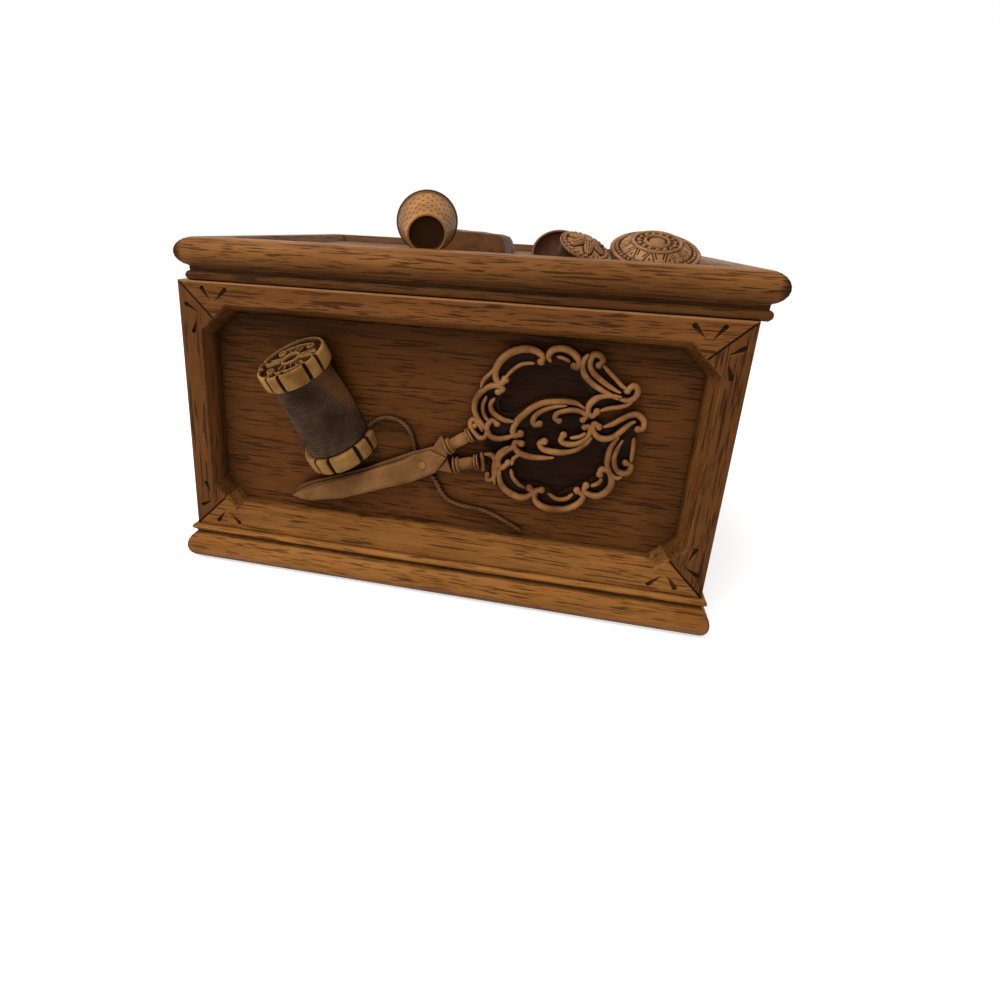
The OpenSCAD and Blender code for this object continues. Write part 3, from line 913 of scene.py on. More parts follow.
@dataclass
class Studio:
    """White floor and backdrop with soft lamps."""

    floor_size: float = 6.0
    floor_grey: float = 0.92
    floor_glow: float = 0.62
    floor_gap: float = 0.0004
    lamp_size: float = 0.6
    key: float = 7.4
    fill: float = 1.9
    air: float = 0.40
    seen_by: tuple[str, ...] = ("Is Camera Ray", "Is Glossy Ray", "Is Transmission Ray")

    def lamp(self, name: str, at: Point, aim: Point, power: float) -> None:
        """Adds one square area lamp.

        Args:
            name: its name.
            at: its place in metres.
            aim: the point it faces, in metres.
            power: its power in watts.
        """
        light = bpy.data.lights.new(name, "AREA")
        light.shape = "SQUARE"
        light.size = self.lamp_size
        light.energy = power
        item = bpy.data.objects.new(name, light)
        item.location = Vector(at)
        item.rotation_euler = (Vector(aim) - Vector(at)).to_track_quat("-Z", "Y").to_euler()
        bpy.context.scene.collection.objects.link(item)

    def floor(self) -> None:
        """Adds the floor."""
        sheet = Clay()
        half = self.floor_size / 2 / MM
        sheet.loft([[(-half, -half, 0), (half, -half, 0)], [(-half, half, 0), (half, half, 0)]],
                   around=False)
        paper = NodeSheet("studio_floor")
        paper.shader.inputs["Base Color"].default_value = (*[self.floor_grey] * 3, 1.0)
        paper.shader.inputs["Roughness"].default_value = 0.9
        paths = paper.tree.nodes.new("ShaderNodeLightPath")
        seen = paper.highest(*(paths.outputs[key] for key in self.seen_by))
        paper.shader.inputs["Emission Color"].default_value = WHITE
        paper.put(paper.shader.inputs["Emission Strength"],
                  paper.math("MULTIPLY", seen, self.floor_glow))
        item = sheet.piece("studio_floor_sheet", paper.material)
        item.location.z = -self.floor_gap
        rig.stage(item)

    def world(self) -> None:
        """Sets the white surroundings."""
        world = bpy.data.worlds.new("studio_white")
        bpy.context.scene.world = world
        world.use_nodes = True
        tree = world.node_tree
        back = tree.nodes["Background"]
        back.inputs[0].default_value = WHITE
        paths = tree.nodes.new("ShaderNodeLightPath")
        most = None
        for key in self.seen_by:
            if most is None:
                most = paths.outputs[key]
                continue
            peak = tree.nodes.new("ShaderNodeMath")
            peak.operation = "MAXIMUM"
            tree.links.new(most, peak.inputs[0])
            tree.links.new(paths.outputs[key], peak.inputs[1])
            most = peak.outputs[0]
        level = tree.nodes.new("ShaderNodeMapRange")
        level.inputs["To Min"].default_value = self.air
        level.inputs["To Max"].default_value = 1.0
        tree.links.new(most, level.inputs["Value"])
        tree.links.new(level.outputs[0], back.inputs[1])

    def build(self) -> None:
        """Adds floor, surroundings and lamps."""
        self.floor()
        self.world()
        self.lamp("key_lamp", (-0.28, -0.5, 0.95), (-0.02, -0.05, 0.1), self.key)
        self.lamp("left_lamp", (-0.9, -0.6, 0.45), (0, 0, 0.08), self.fill)
        view = bpy.context.scene.view_settings
        view.view_transform = "Standard"
        log.info("studio set")


@dataclass
class OnPanel:
    """What the front's pieces share: the panel's face and the middle of its height."""

    panel_y: float = -78.5
    panel_z: float = 78.25

    def on_panel(self, x: float, h: float, up: float) -> Vector:
        """Gives the point at x, height h about the panel's middle and up in front of its face."""
        return Vector((x, self.panel_y - up, self.panel_z + h))

    def bed(self, clay: Clay, depth: float) -> None:
        """Cuts a form off where it would lie deeper in the panel than depth."""
        clay.keep_outside((0, self.panel_y + depth, 0), (0, -1, 0))


@dataclass
class OnLid:
    """What the pieces on the lid share: the height of its sunk panel."""

    floor_z: float = 152.5
    gap: float = 0.05

    def bed(self, clay: Clay) -> None:
        """Cuts a form off just above the lid's panel."""
        clay.keep_outside((0, 0, self.floor_z + self.gap), (0, 0, 1))


@dataclass
class Carcass(OnPanel):
    """The box itself: base moulding, framed front, walls, bottom and felt."""

    body_w: float = 240.0
    body_h: float = 119.5
    front_y: float = -87.5
    scribe: float = 15.5
    recess: Flat = (103.5, 43.5)

    @property
    def body_top(self) -> float:
        """Gives the height of the body's top edge."""
        return self.panel_z + self.body_h / 2

    def mitre_lines(self, sheet: NodeSheet) -> Socket:
        """Draws the scribed mitre line at each corner of the front.

        Args:
            sheet: the material's node tree.

        Returns:
            The mask, 1 on a line.
        """
        lines = []
        for side in (-1, 1):
            for up in (-1, 1):
                corner = (side * self.body_w / 2, self.panel_z + up * self.body_h / 2)
                inner = (corner[0] - side * self.scribe, corner[1] - up * self.scribe)
                lines.append(sheet.fit_mm(sheet.segment(corner, inner), 0.28, 0.62, 1.0, 0.0))
        front = sheet.fit_mm(sheet.y, self.front_y + 1.5, self.front_y + 1.0)
        return sheet.product(sheet.highest(*lines), front)

    def inside_outer_faces(self, sheet: NodeSheet, soft: float, edge: float) -> Socket:
        """Gives 1 on the front and 0 on the stiles' outer faces.

        Args:
            sheet: the material's node tree.
            soft: distance from the outer face where the mask starts to fall, in millimetres.
            edge: distance from the outer face where it reaches 0.

        Returns:
            The mask.
        """
        half = self.body_w / 2
        return sheet.fit_mm(sheet.off(sheet.x), half - soft, half - edge, 1.0, 0.0)

    def gouge_shade(self, sheet: NodeSheet) -> Socket:
        """Darkens what lies just behind the front face near its corners, the gouges' hollows: painted shade.

        Args:
            sheet: the material's node tree.

        Returns:
            The mask, 0 to 1.
        """
        deep = sheet.fit_mm(sheet.y, self.front_y + 0.12, self.front_y + 0.5, 0.0, 0.75)
        near_ends = sheet.fit_mm(sheet.off(sheet.x), 88, 92)
        on_rails = sheet.fit_mm(sheet.off(sheet.z, self.panel_z), 51.0, 51.3)
        on_stiles = sheet.fit_mm(sheet.off(sheet.x), 111.4, 111.8)
        below_top = sheet.fit_mm(sheet.z, self.body_top - 0.8, self.body_top - 0.3, 1.0, 0.0)
        return sheet.product(deep, self.inside_outer_faces(sheet, 0.8, 0.3), below_top, near_ends,
                             sheet.highest(on_rails, on_stiles))

    def foot_and_groove_shade(self, sheet: NodeSheet) -> Socket:
        """Paints shade on the lowest edge of the base and in the groove under its bead.

        Args:
            sheet: the material's node tree.

        Returns:
            The mask, 0 to 1.
        """
        foot = sheet.fit_mm(sheet.z, 0.5, 1.6, 0.85, 0.0)
        groove = sheet.fit_mm(sheet.off(sheet.z, 14.9), 0.35, 1.0, 0.75, 0.0)
        return sheet.highest(foot, groove)

    def top_edge_highlight(self, sheet: NodeSheet) -> Socket:
        """Paints a highlight on the body's thin top edge under the lid."""
        return sheet.fit_mm(sheet.z, self.body_top - 1.0, self.body_top - 0.5, 0.0, 0.6)

    def slope_shade(self, sheet: NodeSheet) -> Socket:
        """Darkens the slopes where they meet the panel, most at the lower left.

        Args:
            sheet: the material's node tree.

        Returns:
            The mask, 0 to 1.
        """
        near = sheet.fit_mm(sheet.y, self.panel_y - 2.6, self.panel_y - 0.9, 0.0, 0.62)
        left = sheet.fit_mm(sheet.y, self.panel_y - 4.6, self.panel_y - 2.0, 0.0, 0.60)
        left = sheet.product(left, sheet.fit_mm(sheet.x, -45, -85))
        shade = sheet.highest(near, left, self.corner_shade(sheet))
        return sheet.product(shade, self.inside_outer_faces(sheet, 1.0, 0.5))

    def corner_shade(self, sheet: NodeSheet) -> Socket:
        """Darkens the recess's four angled corners.

        Args:
            sheet: the material's node tree.

        Returns:
            The mask, 0 to 1.
        """
        far_x = sheet.math("SUBTRACT", sheet.off(sheet.x), self.recess[0] * MM)
        far_z = sheet.math("SUBTRACT", sheet.off(sheet.z, self.panel_z), self.recess[1] * MM)
        near = sheet.fit_mm(sheet.length(far_x, far_z), 5.0, 10.0, 0.42, 0.0)
        return sheet.product(near, sheet.fit_mm(sheet.y, self.front_y + 0.6, self.front_y + 2.5))

    def loop_stain_and_shade(self, sheet: NodeSheet) -> Socket:
        """Darkens the panel inside the scissors' finger loops and beside the relief: dark stain, and painted shade
        from the relief.

        Args:
            sheet: the material's node tree.

        Returns:
            The mask, 0 to 1.
        """
        cloud = sheet.math("SUBTRACT", sheet.noise(170, EVEN, 2), 0.5)
        cloud = sheet.math("MULTIPLY", cloud, 0.35)
        dark = []
        for (x, h), radii, lean in (((46, 26), (23, 13.5), -6), ((50, -13), (25, 15.5), 6),
                                    ((52, 5), (22, 12), 0), ((30, 0), (12, 9), -20),
                                    ((30.3, 15.5), (7, 6), 0), ((68, -1.6), (6, 8), 0)):
            spot = sheet.oval((x, self.panel_z + h), radii, lean)
            dark.append(sheet.fit(sheet.math("ADD", spot, cloud), 0.85, 1.12, 0.93, 0.0))
        for (xa, ha), (xb, hb) in (((-60, -36), (0, -15)), ((-26, -2), (-13, -2)),
                                   ((2, -31), (40, -46))):
            line = sheet.segment((xa, self.panel_z + ha), (xb, self.panel_z + hb))
            dark.append(sheet.fit_mm(line, 2.0, 8.0, 0.35, 0.0))
        return sheet.highest(*dark)

    def panel_stain_and_top_shade(self, sheet: NodeSheet) -> Socket:
        """Darkens the panel towards its top and its ends: painted shade under the top rail, and darker stain towards
        the ends.

        Args:
            sheet: the material's node tree.

        Returns:
            The mask, 0 to 1.
        """
        ends = sheet.fit_mm(sheet.off(sheet.x), 88, 107, 0.0, 0.35)
        top = sheet.fit_mm(sheet.z, self.panel_z + 22, self.panel_z + 46, 0.0, 0.5)
        return sheet.highest(ends, top)

    def build(self) -> None:
        """Dresses every piece of the carcass."""
        light, dark = (174, 117, 58), (123, 74, 29)
        base_x = StainedWood("base_wood_x", light, dark, masks=(self.foot_and_groove_shade,))
        base_y = StainedWood("base_wood_y", light, dark, grain=Grain.Y, masks=(self.foot_and_groove_shade,))
        for node, finish in (("base_front", base_x), ("base_back", base_x),
                             ("base_left", base_y), ("base_right", base_y)):
            dress(node, finish.material(), "moulding_wood")
        marks = (self.mitre_lines, self.gouge_shade, self.slope_shade)
        rail = StainedWood("rail_wood", (156, 102, 49), (108, 64, 25), masks=marks)
        # The top rail's darker copy of the rail wood is painted shade under the lid.
        top = StainedWood("top_rail_wood_shaded", (132, 82, 40), (88, 50, 20), masks=marks,
                          lights=(self.top_edge_highlight,))
        stile = StainedWood("stile_wood", (114, 71, 34), (80, 44, 17), grain=Grain.Z, masks=marks)
        for node, finish in (("front_top_rail", top), ("front_bottom_rail", rail),
                             ("front_left_stile", stile), ("front_right_stile", stile)):
            dress(node, finish.material(), "frame_wood")
        panel = StainedWood("panel_wood", (105, 62, 26), (75, 40, 12), crevice=0.012,
                            masks=(self.panel_stain_and_top_shade, self.loop_stain_and_shade))
        dress("front_panel", panel.material(), "panel_wood")
        light, dark = (122, 78, 40), (84, 50, 22)
        side = StainedWood("side_wood", light, dark, grain=Grain.Y)
        dress("side_wall_left", side.material(), "wall_wood")
        dress("side_wall_right", side.material(), "wall_wood")
        dress("back_wall", StainedWood("back_wood", light, dark).material(), "wall_wood")
        board = StainedWood("board_wood", (150, 108, 64), (116, 78, 42))
        dress("bottom_board", board.material(), "inner_wood")
        dress("felt_liner", FeltFinish().material(), "felt")


@dataclass
class Spool(OnPanel):
    """The spool of thread, half sunk in the front panel."""

    at: Point = (-46.0, -75.1, 62.25)
    lean: float = 22.0
    tilt: float = 20.0
    length: float = 54.0
    flange_t: float = 8.5
    top_r: float = 16.2
    low_r: float = 18.2
    wind_top_r: float = 13.4
    wind_low_r: float = 15.8
    turns: int = 33
    turn_steps: int = 56
    strand_sides: int = 7
    slack: float = 0.16
    lobe: float = 72.0
    notches: tuple[float, ...] = (23.5, 48.5)
    notch_half: float = 0.95
    notch_deep: float = 2.1
    face_deep: float = 2.1
    spokes: float = -5.0

    def frame(self, along: float = 0.0) -> Matrix:
        """Gives the spool's local frame, its axis along local Z.

        Args:
            along: distance up the axis.

        Returns:
            The frame in millimetres.
        """
        return (Matrix.Translation(self.at)
                @ Matrix.Rotation(math.radians(-self.lean), 4, "Y")
                @ Matrix.Rotation(math.radians(self.tilt), 4, "X")
                @ Matrix.Translation((0, 0, along)))

    def notch(self, angle: float, radius: float) -> float:
        """Gives how deep the flange's rim is cut at an angle, 0 on the side towards the panel.

        Args:
            angle: the angle in radians.
            radius: the rim's radius.

        Returns:
            The depth in millimetres.
        """
        if math.sin(angle) > 0.3:
            return 0.0
        deep = 0.0
        degrees = math.degrees(angle) % self.lobe
        for cut in self.notches:
            off = abs((degrees - cut + self.lobe / 2) % self.lobe - self.lobe / 2)
            arc = math.radians(off) * radius
            if arc < self.notch_half:
                deep = max(deep, self.notch_deep * (1.0 - (arc / self.notch_half) ** 2) ** 0.5)
            deep = max(deep, 0.5 * ridge(arc, 1.7))
        return deep

    def face(self, r: float, angle: float, rim: float) -> float:
        """Gives the carved height of the upper face: spokes, curls, arcs and a ring round the hole.

        Args:
            r: distance from the axis.
            angle: the angle in radians.
            rim: radius of the rim.

        Returns:
            Height below the rim's top, at most 0.
        """
        floor = -self.face_deep
        high = floor
        if r > rim - 1.5:
            return 0.0 if r > rim - 1.25 else floor * (rim - 1.25 - r) / 0.25
        turned = angle - math.radians(self.spokes)
        x, y = r * math.cos(turned), r * math.sin(turned)
        for spot in (-1.9, 0.0, 1.9):
            if 4.8 < abs(x) < rim - 3.0 - 0.7 * abs(spot):
                high = max(high, floor + 1.9 * ridge(y - spot * (0.45 + 0.05 * abs(x)), 0.45))
        for lean in (-0.42, 0.0, 0.42):
            if 4.8 < abs(y) < 9.2 - 3.0 * abs(lean):
                high = max(high, floor + 1.7 * ridge(x - lean * abs(y), 0.42))
        curl = math.hypot(abs(x) - 7.4, abs(y) - 7.2)
        high = max(high, floor + 1.9 * ridge(curl - 1.5, 0.5))
        if abs(x) < 7.0:
            high = max(high, floor + 1.7 * ridge(abs(y) - 10.6 + 0.028 * x * x, 0.5))
        high = max(high, floor + 2.0 * ridge(r - 4.2, 0.7))
        if r < 3.0:
            high = floor - 0.7
        return min(0.0, high)

    def flange(self, name: str, along: float, radius: float, carved: bool,
               finish: Material) -> None:
        """Builds one flange with its lobes, and its carved face on the upper one.

        Args:
            name: node that it stands for.
            along: place of its underside on the axis.
            radius: its radius.
            carved: whether its upper face is carved.
            finish: its material.
        """
        clay = Clay(self.frame(along))
        top = self.flange_t
        profile: list[Flat] = [(0.4, 0.0), (radius - 2.2, 0.0), (radius - 0.8, 0.25),
                               (radius - 0.1, 1.0)]
        profile += [(radius, top * k / 6) for k in range(2, 5)]
        profile += [(radius - 0.05, top - 1.0), (radius - 0.35, top - 0.3), (radius - 0.9, top)]
        rings = 46
        inner = radius - 1.1
        profile += [(inner * (1 - k / rings) + 0.3 * k / rings, top) for k in range(rings + 1)]

        def carve(r: float, z: float, angle: float) -> tuple[float, float, float]:
            """Cuts the lobes' notches, carves the upper face and leaves stain in them.

            Args:
                r: distance from the middle.
                z: height on the profile.
                angle: the angle in radians.

            Returns:
                Radius, height and stain.
            """
            notch = self.notch(angle, radius)
            cut = notch * min(1.0, max(0.0, (r - radius * 0.45) / (radius * 0.5)))
            stain = min(1.0, max(0.0, (notch - 0.55) / 0.7)) if r > radius - 1.4 else 0.0
            if z >= top - 0.01 and carved:
                low = self.face(r, angle, radius)
                stain = min(1.0, max(0.0, (-low - 0.75) / 0.75))
                z = z + low
            return r - cut, z, stain

        clay.turned(profile, 360 if carved else 240, carve)
        self.bed(clay, 0.4)
        item = clay.piece(name + "_carved", finish, 50)
        settle(item, Body.BOX, [name], "ornament")

    def winding(self, finish: Material) -> None:
        """Builds the fine winding: one spiral of thread on the spool.

        Args:
            finish: its material.
        """
        low, high = self.flange_t + 0.25, self.length - self.flange_t - 0.25
        pitch = (high - low) / self.turns
        chance = random.Random(7)
        slack = [chance.uniform(-self.slack, self.slack) for _ in range(self.turns + 2)]
        line = []
        for i in range(self.turns * self.turn_steps + 1):
            turn = i / self.turn_steps
            along = low + pitch * turn
            share = (along - low) / (high - low)
            around = math.tau * turn
            loose = slack[int(turn)]
            wave = loose * (0.5 + 0.5 * math.sin(around * 2 + 3 * loose))
            r = self.wind_low_r + (self.wind_top_r - self.wind_low_r) * share
            r += (wave - pitch) * 0.5
            line.append(Vector((r * math.cos(around), r * math.sin(around), along + wave * 0.35)))
        sides = [math.tau * k / self.strand_sides for k in range(self.strand_sides)]
        rows: list[list[Point]] = []
        for i, p in enumerate(line):
            side = Vector((p.x, p.y, 0)).normalized()
            rise = heading(line, i).cross(side).normalized()
            rows.append([p + pitch * 0.53 * (math.cos(a) * side + math.sin(a) * rise)
                         for a in sides])
        clay = Clay(self.frame())
        clay.loft(rows)
        self.bed(clay, 0.3)
        item = clay.piece("spool_winding_turns", finish, 80)
        settle(item, Body.BOX, ["spool_winding"], "thread")

    def bare_strip(self, sheet: NodeSheet) -> Socket:
        """Marks the worn, wood-coloured strip along the winding's right side.

        Args:
            sheet: the material's node tree.

        Returns:
            The mask, 0 to 1.
        """
        strip = sheet.segment((-50.2, 103.5), (-33.6, 83.2))
        speck = sheet.math("SUBTRACT", sheet.noise(700, EVEN, 2), 0.5)
        speck = sheet.math("MULTIPLY", speck, 3.0 * MM)
        return sheet.fit_mm(sheet.math("ADD", strip, speck), 1.6, 3.6, 0.7, 0.0)

    def middle_shade(self, sheet: NodeSheet) -> Socket:
        """Paints shade on the winding's middle."""
        middle = sheet.segment((-57.5, 103.0), (-45.5, 74.0))
        return sheet.fit_mm(middle, 3.0, 8.5, 0.28, 0.0)

    def build(self) -> None:
        """Builds the flanges and the winding."""
        wood = CarvedFinish("spool_wood", (168, 124, 70), (120, 80, 40), crevice=0.0028)
        thread = CarvedFinish("spool_thread", (98, 76, 58), (60, 42, 31), stain=(26, 13, 7),
                              crevice=0.0012, open_low=0.2, open_high=0.9, rough=0.62,
                              masks=(self.middle_shade,), tints=(self.bare_strip,))
        self.flange("spool_top_flange", self.length - self.flange_t, self.top_r, True,
                    wood.material())
        self.flange("spool_bottom_flange", 0.0, self.low_r, False, wood.material())
        self.winding(thread.material())
        dress("spool_core", thread.material(), "thread")


@dataclass
class LooseThread(OnPanel):
    """The loose end of the thread, lying on the panel and under the scissors."""

    thick: float = 2.2
    twist: float = 4.2
    ply_off: float = 0.42
    route: tuple[Flat, ...] = (
        (-33.6, -1.4), (-31.4, 1), (-28, 3.2), (-23.5, 4), (-19, 3), (-15.5, 0.5), (-13, -3.5),
        (-11.6, -8.5), (-10, -13.5), (-7, -18), (-3.4, -21.5), (-0.6, -25), (1.6, -29), (5, -32.5),
        (10, -34.4), (15, -35), (20, -35.4), (25, -36.6), (30, -38.6), (35, -41), (40, -43.4))

    def build(self) -> None:
        """Builds the thread from two plies twisted round each other."""
        line = flow(self.route, 8)
        clay = Clay()
        up = Vector((0, -1, 0))
        for ply in (0.0, math.pi):
            path, radii, run = [], [], 0.0
            for i, (x, h) in enumerate(line):
                back = line[max(i - 1, 0)]
                ahead = line[min(i + 1, len(line) - 1)]
                run += math.hypot(x - back[0], h - back[1])
                way = Vector((ahead[0] - back[0], 0, ahead[1] - back[1])).normalized()
                side = way.cross(up)
                turn = run * math.tau / self.twist + ply
                mid = self.on_panel(x, h, self.thick / 2)
                path.append(mid + self.ply_off * (math.cos(turn) * side + math.sin(turn) * up))
                end = min(1.0, (len(line) - 1 - i) / 5.0 + 0.35)
                radii.append((self.thick / 2 - self.ply_off) * end)
            # The thread's lower side is darkened: stain and painted shade.
            clay.tube(path, radii, 9, low_side_stain_and_shade=0.9)
        finish = CarvedFinish("thread_cord", (112, 76, 46), (72, 44, 24), crevice=0.0022,
                              rough=0.55)
        item = clay.piece("thread_tail_plies", finish.material(), 70)
        settle(item, Body.BOX, ["thread_tail"], "tail_thread")


Scroll = tuple[float, float, bool, bool, tuple[Flat, ...]]


@dataclass
class Scissors(OnPanel):
    """The ornate scissors in relief: blades, screw, shanks and scrolled handles."""

    lift: float = 2.5
    blade_t: float = 1.6
    pivot: Flat = (-7.0, -15.5)
    shank_r: float = 2.7
    handle_h: float = 5.0
    plate_h: float = 1.6
    scroll_share: float = 0.84
    scroll_swell: float = 0.26
    scroll_taper: float = 0.12
    scroll_tip: float = 0.45
    scroll_most: float = 1.95
    scroll_tall: float = 1.25
    ball_share: float = 1.12
    upper_plate: tuple[Flat, ...] = (
        (14.5, 9), (16, 15), (19, 21.5), (22.5, 23), (23.8, 27), (24.6, 33.5), (28, 37.2),
        (33, 39.4), (39, 39.5),
        (42, 38), (46, 39.8), (49, 41.6), (53, 40.4), (57, 36), (61.5, 39.6), (65, 38.5), (68, 33.5),
        (73, 29), (78.5, 28.2), (80, 25), (77, 22), (70, 18.8), (64.5, 16.5), (60, 17.2),
        (50.5, 13.2), (43, 10.2), (34.5, 5), (28, 2), (22.5, 1.9), (20, 0), (16.8, 1.4), (14.5, 4.5))
    lower_plate: tuple[Flat, ...] = (
        (20.5, -8), (26, -7.4), (32.6, -3.4), (38, -4), (48, -3.6), (56, 1.6), (62, 5), (66, 7.6),
        (70.5, 9.6), (78, 10.8), (83, 14), (84.6, 11), (82.4, 4), (82.2, -5), (80.2, -9.4),
        (75.2, -11.4), (74.6, -16.5), (70.5, -20), (66, -19), (63.6, -24.5), (58, -28),
        (50, -28.2), (45, -25.4), (41, -25), (34, -24), (29.6, -20.6), (28.6, -14), (25, -12.6),
        (21.4, -12.6))

    upper_window: tuple[Flat, ...] = (
        (26.6, 12.4), (25, 17), (28.4, 22.4), (29.8, 27), (31.6, 31.8), (36.4, 34), (43, 34.4),
        (50, 35.4), (55, 34), (57.4, 31), (60.6, 27), (64, 23.8), (60.6, 20.8), (52, 22), (43, 20.6),
        (36.6, 15.6), (31, 12))
    lower_window: tuple[Flat, ...] = (
        (31.6, -12.6), (33.4, -17), (37.6, -20), (42, -18.4), (48, -19.4), (54, -22.6), (60, -18.6),
        (65.6, -15.2), (70, -11.6), (71.6, -6), (72, 1), (69, 4.2), (63, 0.2), (57, -3.6),
        (49, -7.6), (40, -8), (34.6, -8.4))
    back_outline: tuple[Flat, ...] = (
        (-69.4, -37.6), (-60.5, -39), (-45, -35.4), (-28, -29), (-12, -23), (-1, -17.2), (3, -12.4),
        (0, -5.8), (-12, -10.4), (-33.5, -20.6), (-48, -26.4), (-60, -31), (-66.6, -34))
    front_outline: tuple[Flat, ...] = (
        (-70.5, -39.6), (-66, -40.8), (-60.5, -40.8), (-45, -37.4), (-28, -30.8), (-12, -24.6),
        (-0.8, -18.4), (3.9, -10.9), (-3.7, -8.1), (-12, -11.4),
        (-15.5, -14), (-33.5, -22), (-48, -27.6), (-60, -32.4), (-66, -35.6))
    upper_tang: tuple[Flat, ...] = (
        (-3.6, -8.8), (0.6, -1.2), (2.2, -2.4), (4.2, -7.0), (4.0, -11.0))
    lower_tang: tuple[Flat, ...] = ((0.0, -17.4), (4.2, -11.4), (6.8, -18.0))

    def scrolls(self) -> dict[str, list[Scroll]]:
        """Lists the handles' scroll strokes.

        Returns:
            For each handle: start radius, end radius, ball at start, ball at end, route.
        """
        upper = [
            (1.7, 1.5, True, True, ((27.1, 27.3), (25.2, 25.3), (23.3, 27.3), (22.8, 30.7),
                                    (24.4, 34.8),
                                    (27.5, 38.2), (31.5, 40.3), (35.5, 41.0), (39.3, 40.3),
                                    (41.9, 38.3), (41.3, 36.3))),
            (1.5, 1.5, False, True, ((45.4, 36.7), (44.1, 38.7), (45.3, 41.3), (48.4, 42.4),
                                     (51.6, 42.0),
                                     (54.6, 40.4), (56.6, 37.7), (56.3, 35.2), (54.8, 35.9))),
            (1.5, 1.2, False, False, ((60.1, 41.3), (58.5, 38.3), (58.5, 35.0), (60.1, 31.8),
                                      (63.2, 29.1),
                                      (67.6, 26.6), (71.4, 24.9), (74.3, 23.7))),
            (1.5, 1.2, True, False, ((64.6, 37.0), (65.9, 39.0), (64.5, 40.9), (62.1, 41.1),
                                     (61.1, 38.5),
                                     (61.4, 35.7), (63.5, 32.9), (67.1, 30.3), (71.0, 28.0),
                                     (74.7, 26.5))),
            (0.9, 0.9, False, False, ((66.2, 37.3), (68.9, 34.7), (72.0, 31.9), (74.7, 29.4),
                                      (77.0, 28.2))),
            (1.2, 1.5, False, True, ((74.3, 23.9), (77.9, 23.4), (80.5, 25.0), (81.2, 28.0),
                                     (79.4, 29.7), (77.2, 27.6))),
            (1.2, 1.5, False, True, ((75.4, 24.8), (71.4, 24.9), (67.9, 24.3), (64.9, 22.5),
                                     (62.8, 19.6),
                                     (62.7, 16.8), (64.6, 15.3), (66.3, 17.4))),
            (0.9, 0.9, False, False, ((67.5, 18.0), (70.9, 19.4), (75.2, 20.5), (78.5, 22.2),
                                      (80.2, 24.5))),
            (1.6, 1.2, True, False, ((35.5, 4.1), (33.1, 2.9), (32.4, 5.5), (33.4, 8.9), (36.1, 12.5),
                                     (40.0, 16.3), (44.3, 18.8), (49.2, 19.9), (53.7, 20.4),
                                     (57.9, 20.0), (61.3, 18.4))),
            (1.5, 1.0, True, False, ((43.2, 9.5), (41.3, 8.9), (40.5, 11.0), (41.9, 13.8), (45.0, 16.2),
                                     (49.4, 18.0), (53.9, 18.9))),
            (1.3, 1.3, True, True, ((51.3, 11.8), (49.6, 12.7), (50.2, 15.0), (52.9, 16.4),
                                    (56.5, 17.2),
                                    (59.9, 16.9), (62.3, 15.2), (61.1, 13.3))),
            (1.5, 1.3, True, False, ((24.6, 21.8), (26.6, 23.1), (24.4, 24.4), (21.0, 23.8),
                                     (17.7, 21.3),
                                     (15.4, 17.2), (15.0, 13.1), (16.6, 9.2), (19.3, 6.1),
                                     (21.2, 3.8))),
            (1.1, 1.1, False, False, ((23.5, 19.0), (21.8, 16.1), (22.5, 13.1), (25.0, 10.9),
                                      (28.6, 9.4), (32.5, 9.4))),
            (1.4, 1.1, True, False, ((25.3, 7.5), (23.4, 8.9), (21.4, 7.0), (21.2, 3.8), (23.1, 1.2),
                                     (26.7, 0.7), (30.5, 1.9), (33.0, 3.1))),
            (0.9, 0.9, False, False, ((17.2, 22.8), (18.2, 26.4), (21.0, 29.7), (23.0, 32.0))),
            (0.8, 0.8, False, False, ((27.1, 27.8), (29.6, 31.4), (33.6, 34.6), (38.8, 35.6))),
            (0.8, 0.8, False, False, ((47.5, 39.2), (50.6, 38.6), (53.0, 37.4))),
            (1.3, 1.2, True, False, ((15.6, 5.6), (16.6, 7.4), (15.0, 8.4), (13.7, 6.6),
                                     (14.4, 3.8), (16.4, 1.4),
                                     (18.4, 0.2), (20.4, 1.0), (20.8, 3.4))),
            (1.5, 1.0, False, False, ((16.2, 7.6), (18.2, 5.6), (19.2, 3.4))),
            (0.9, 0.9, False, False, ((20.0, 19.5), (18.6, 15.2), (19.6, 10.6), (22.4, 7.8))),
        ]
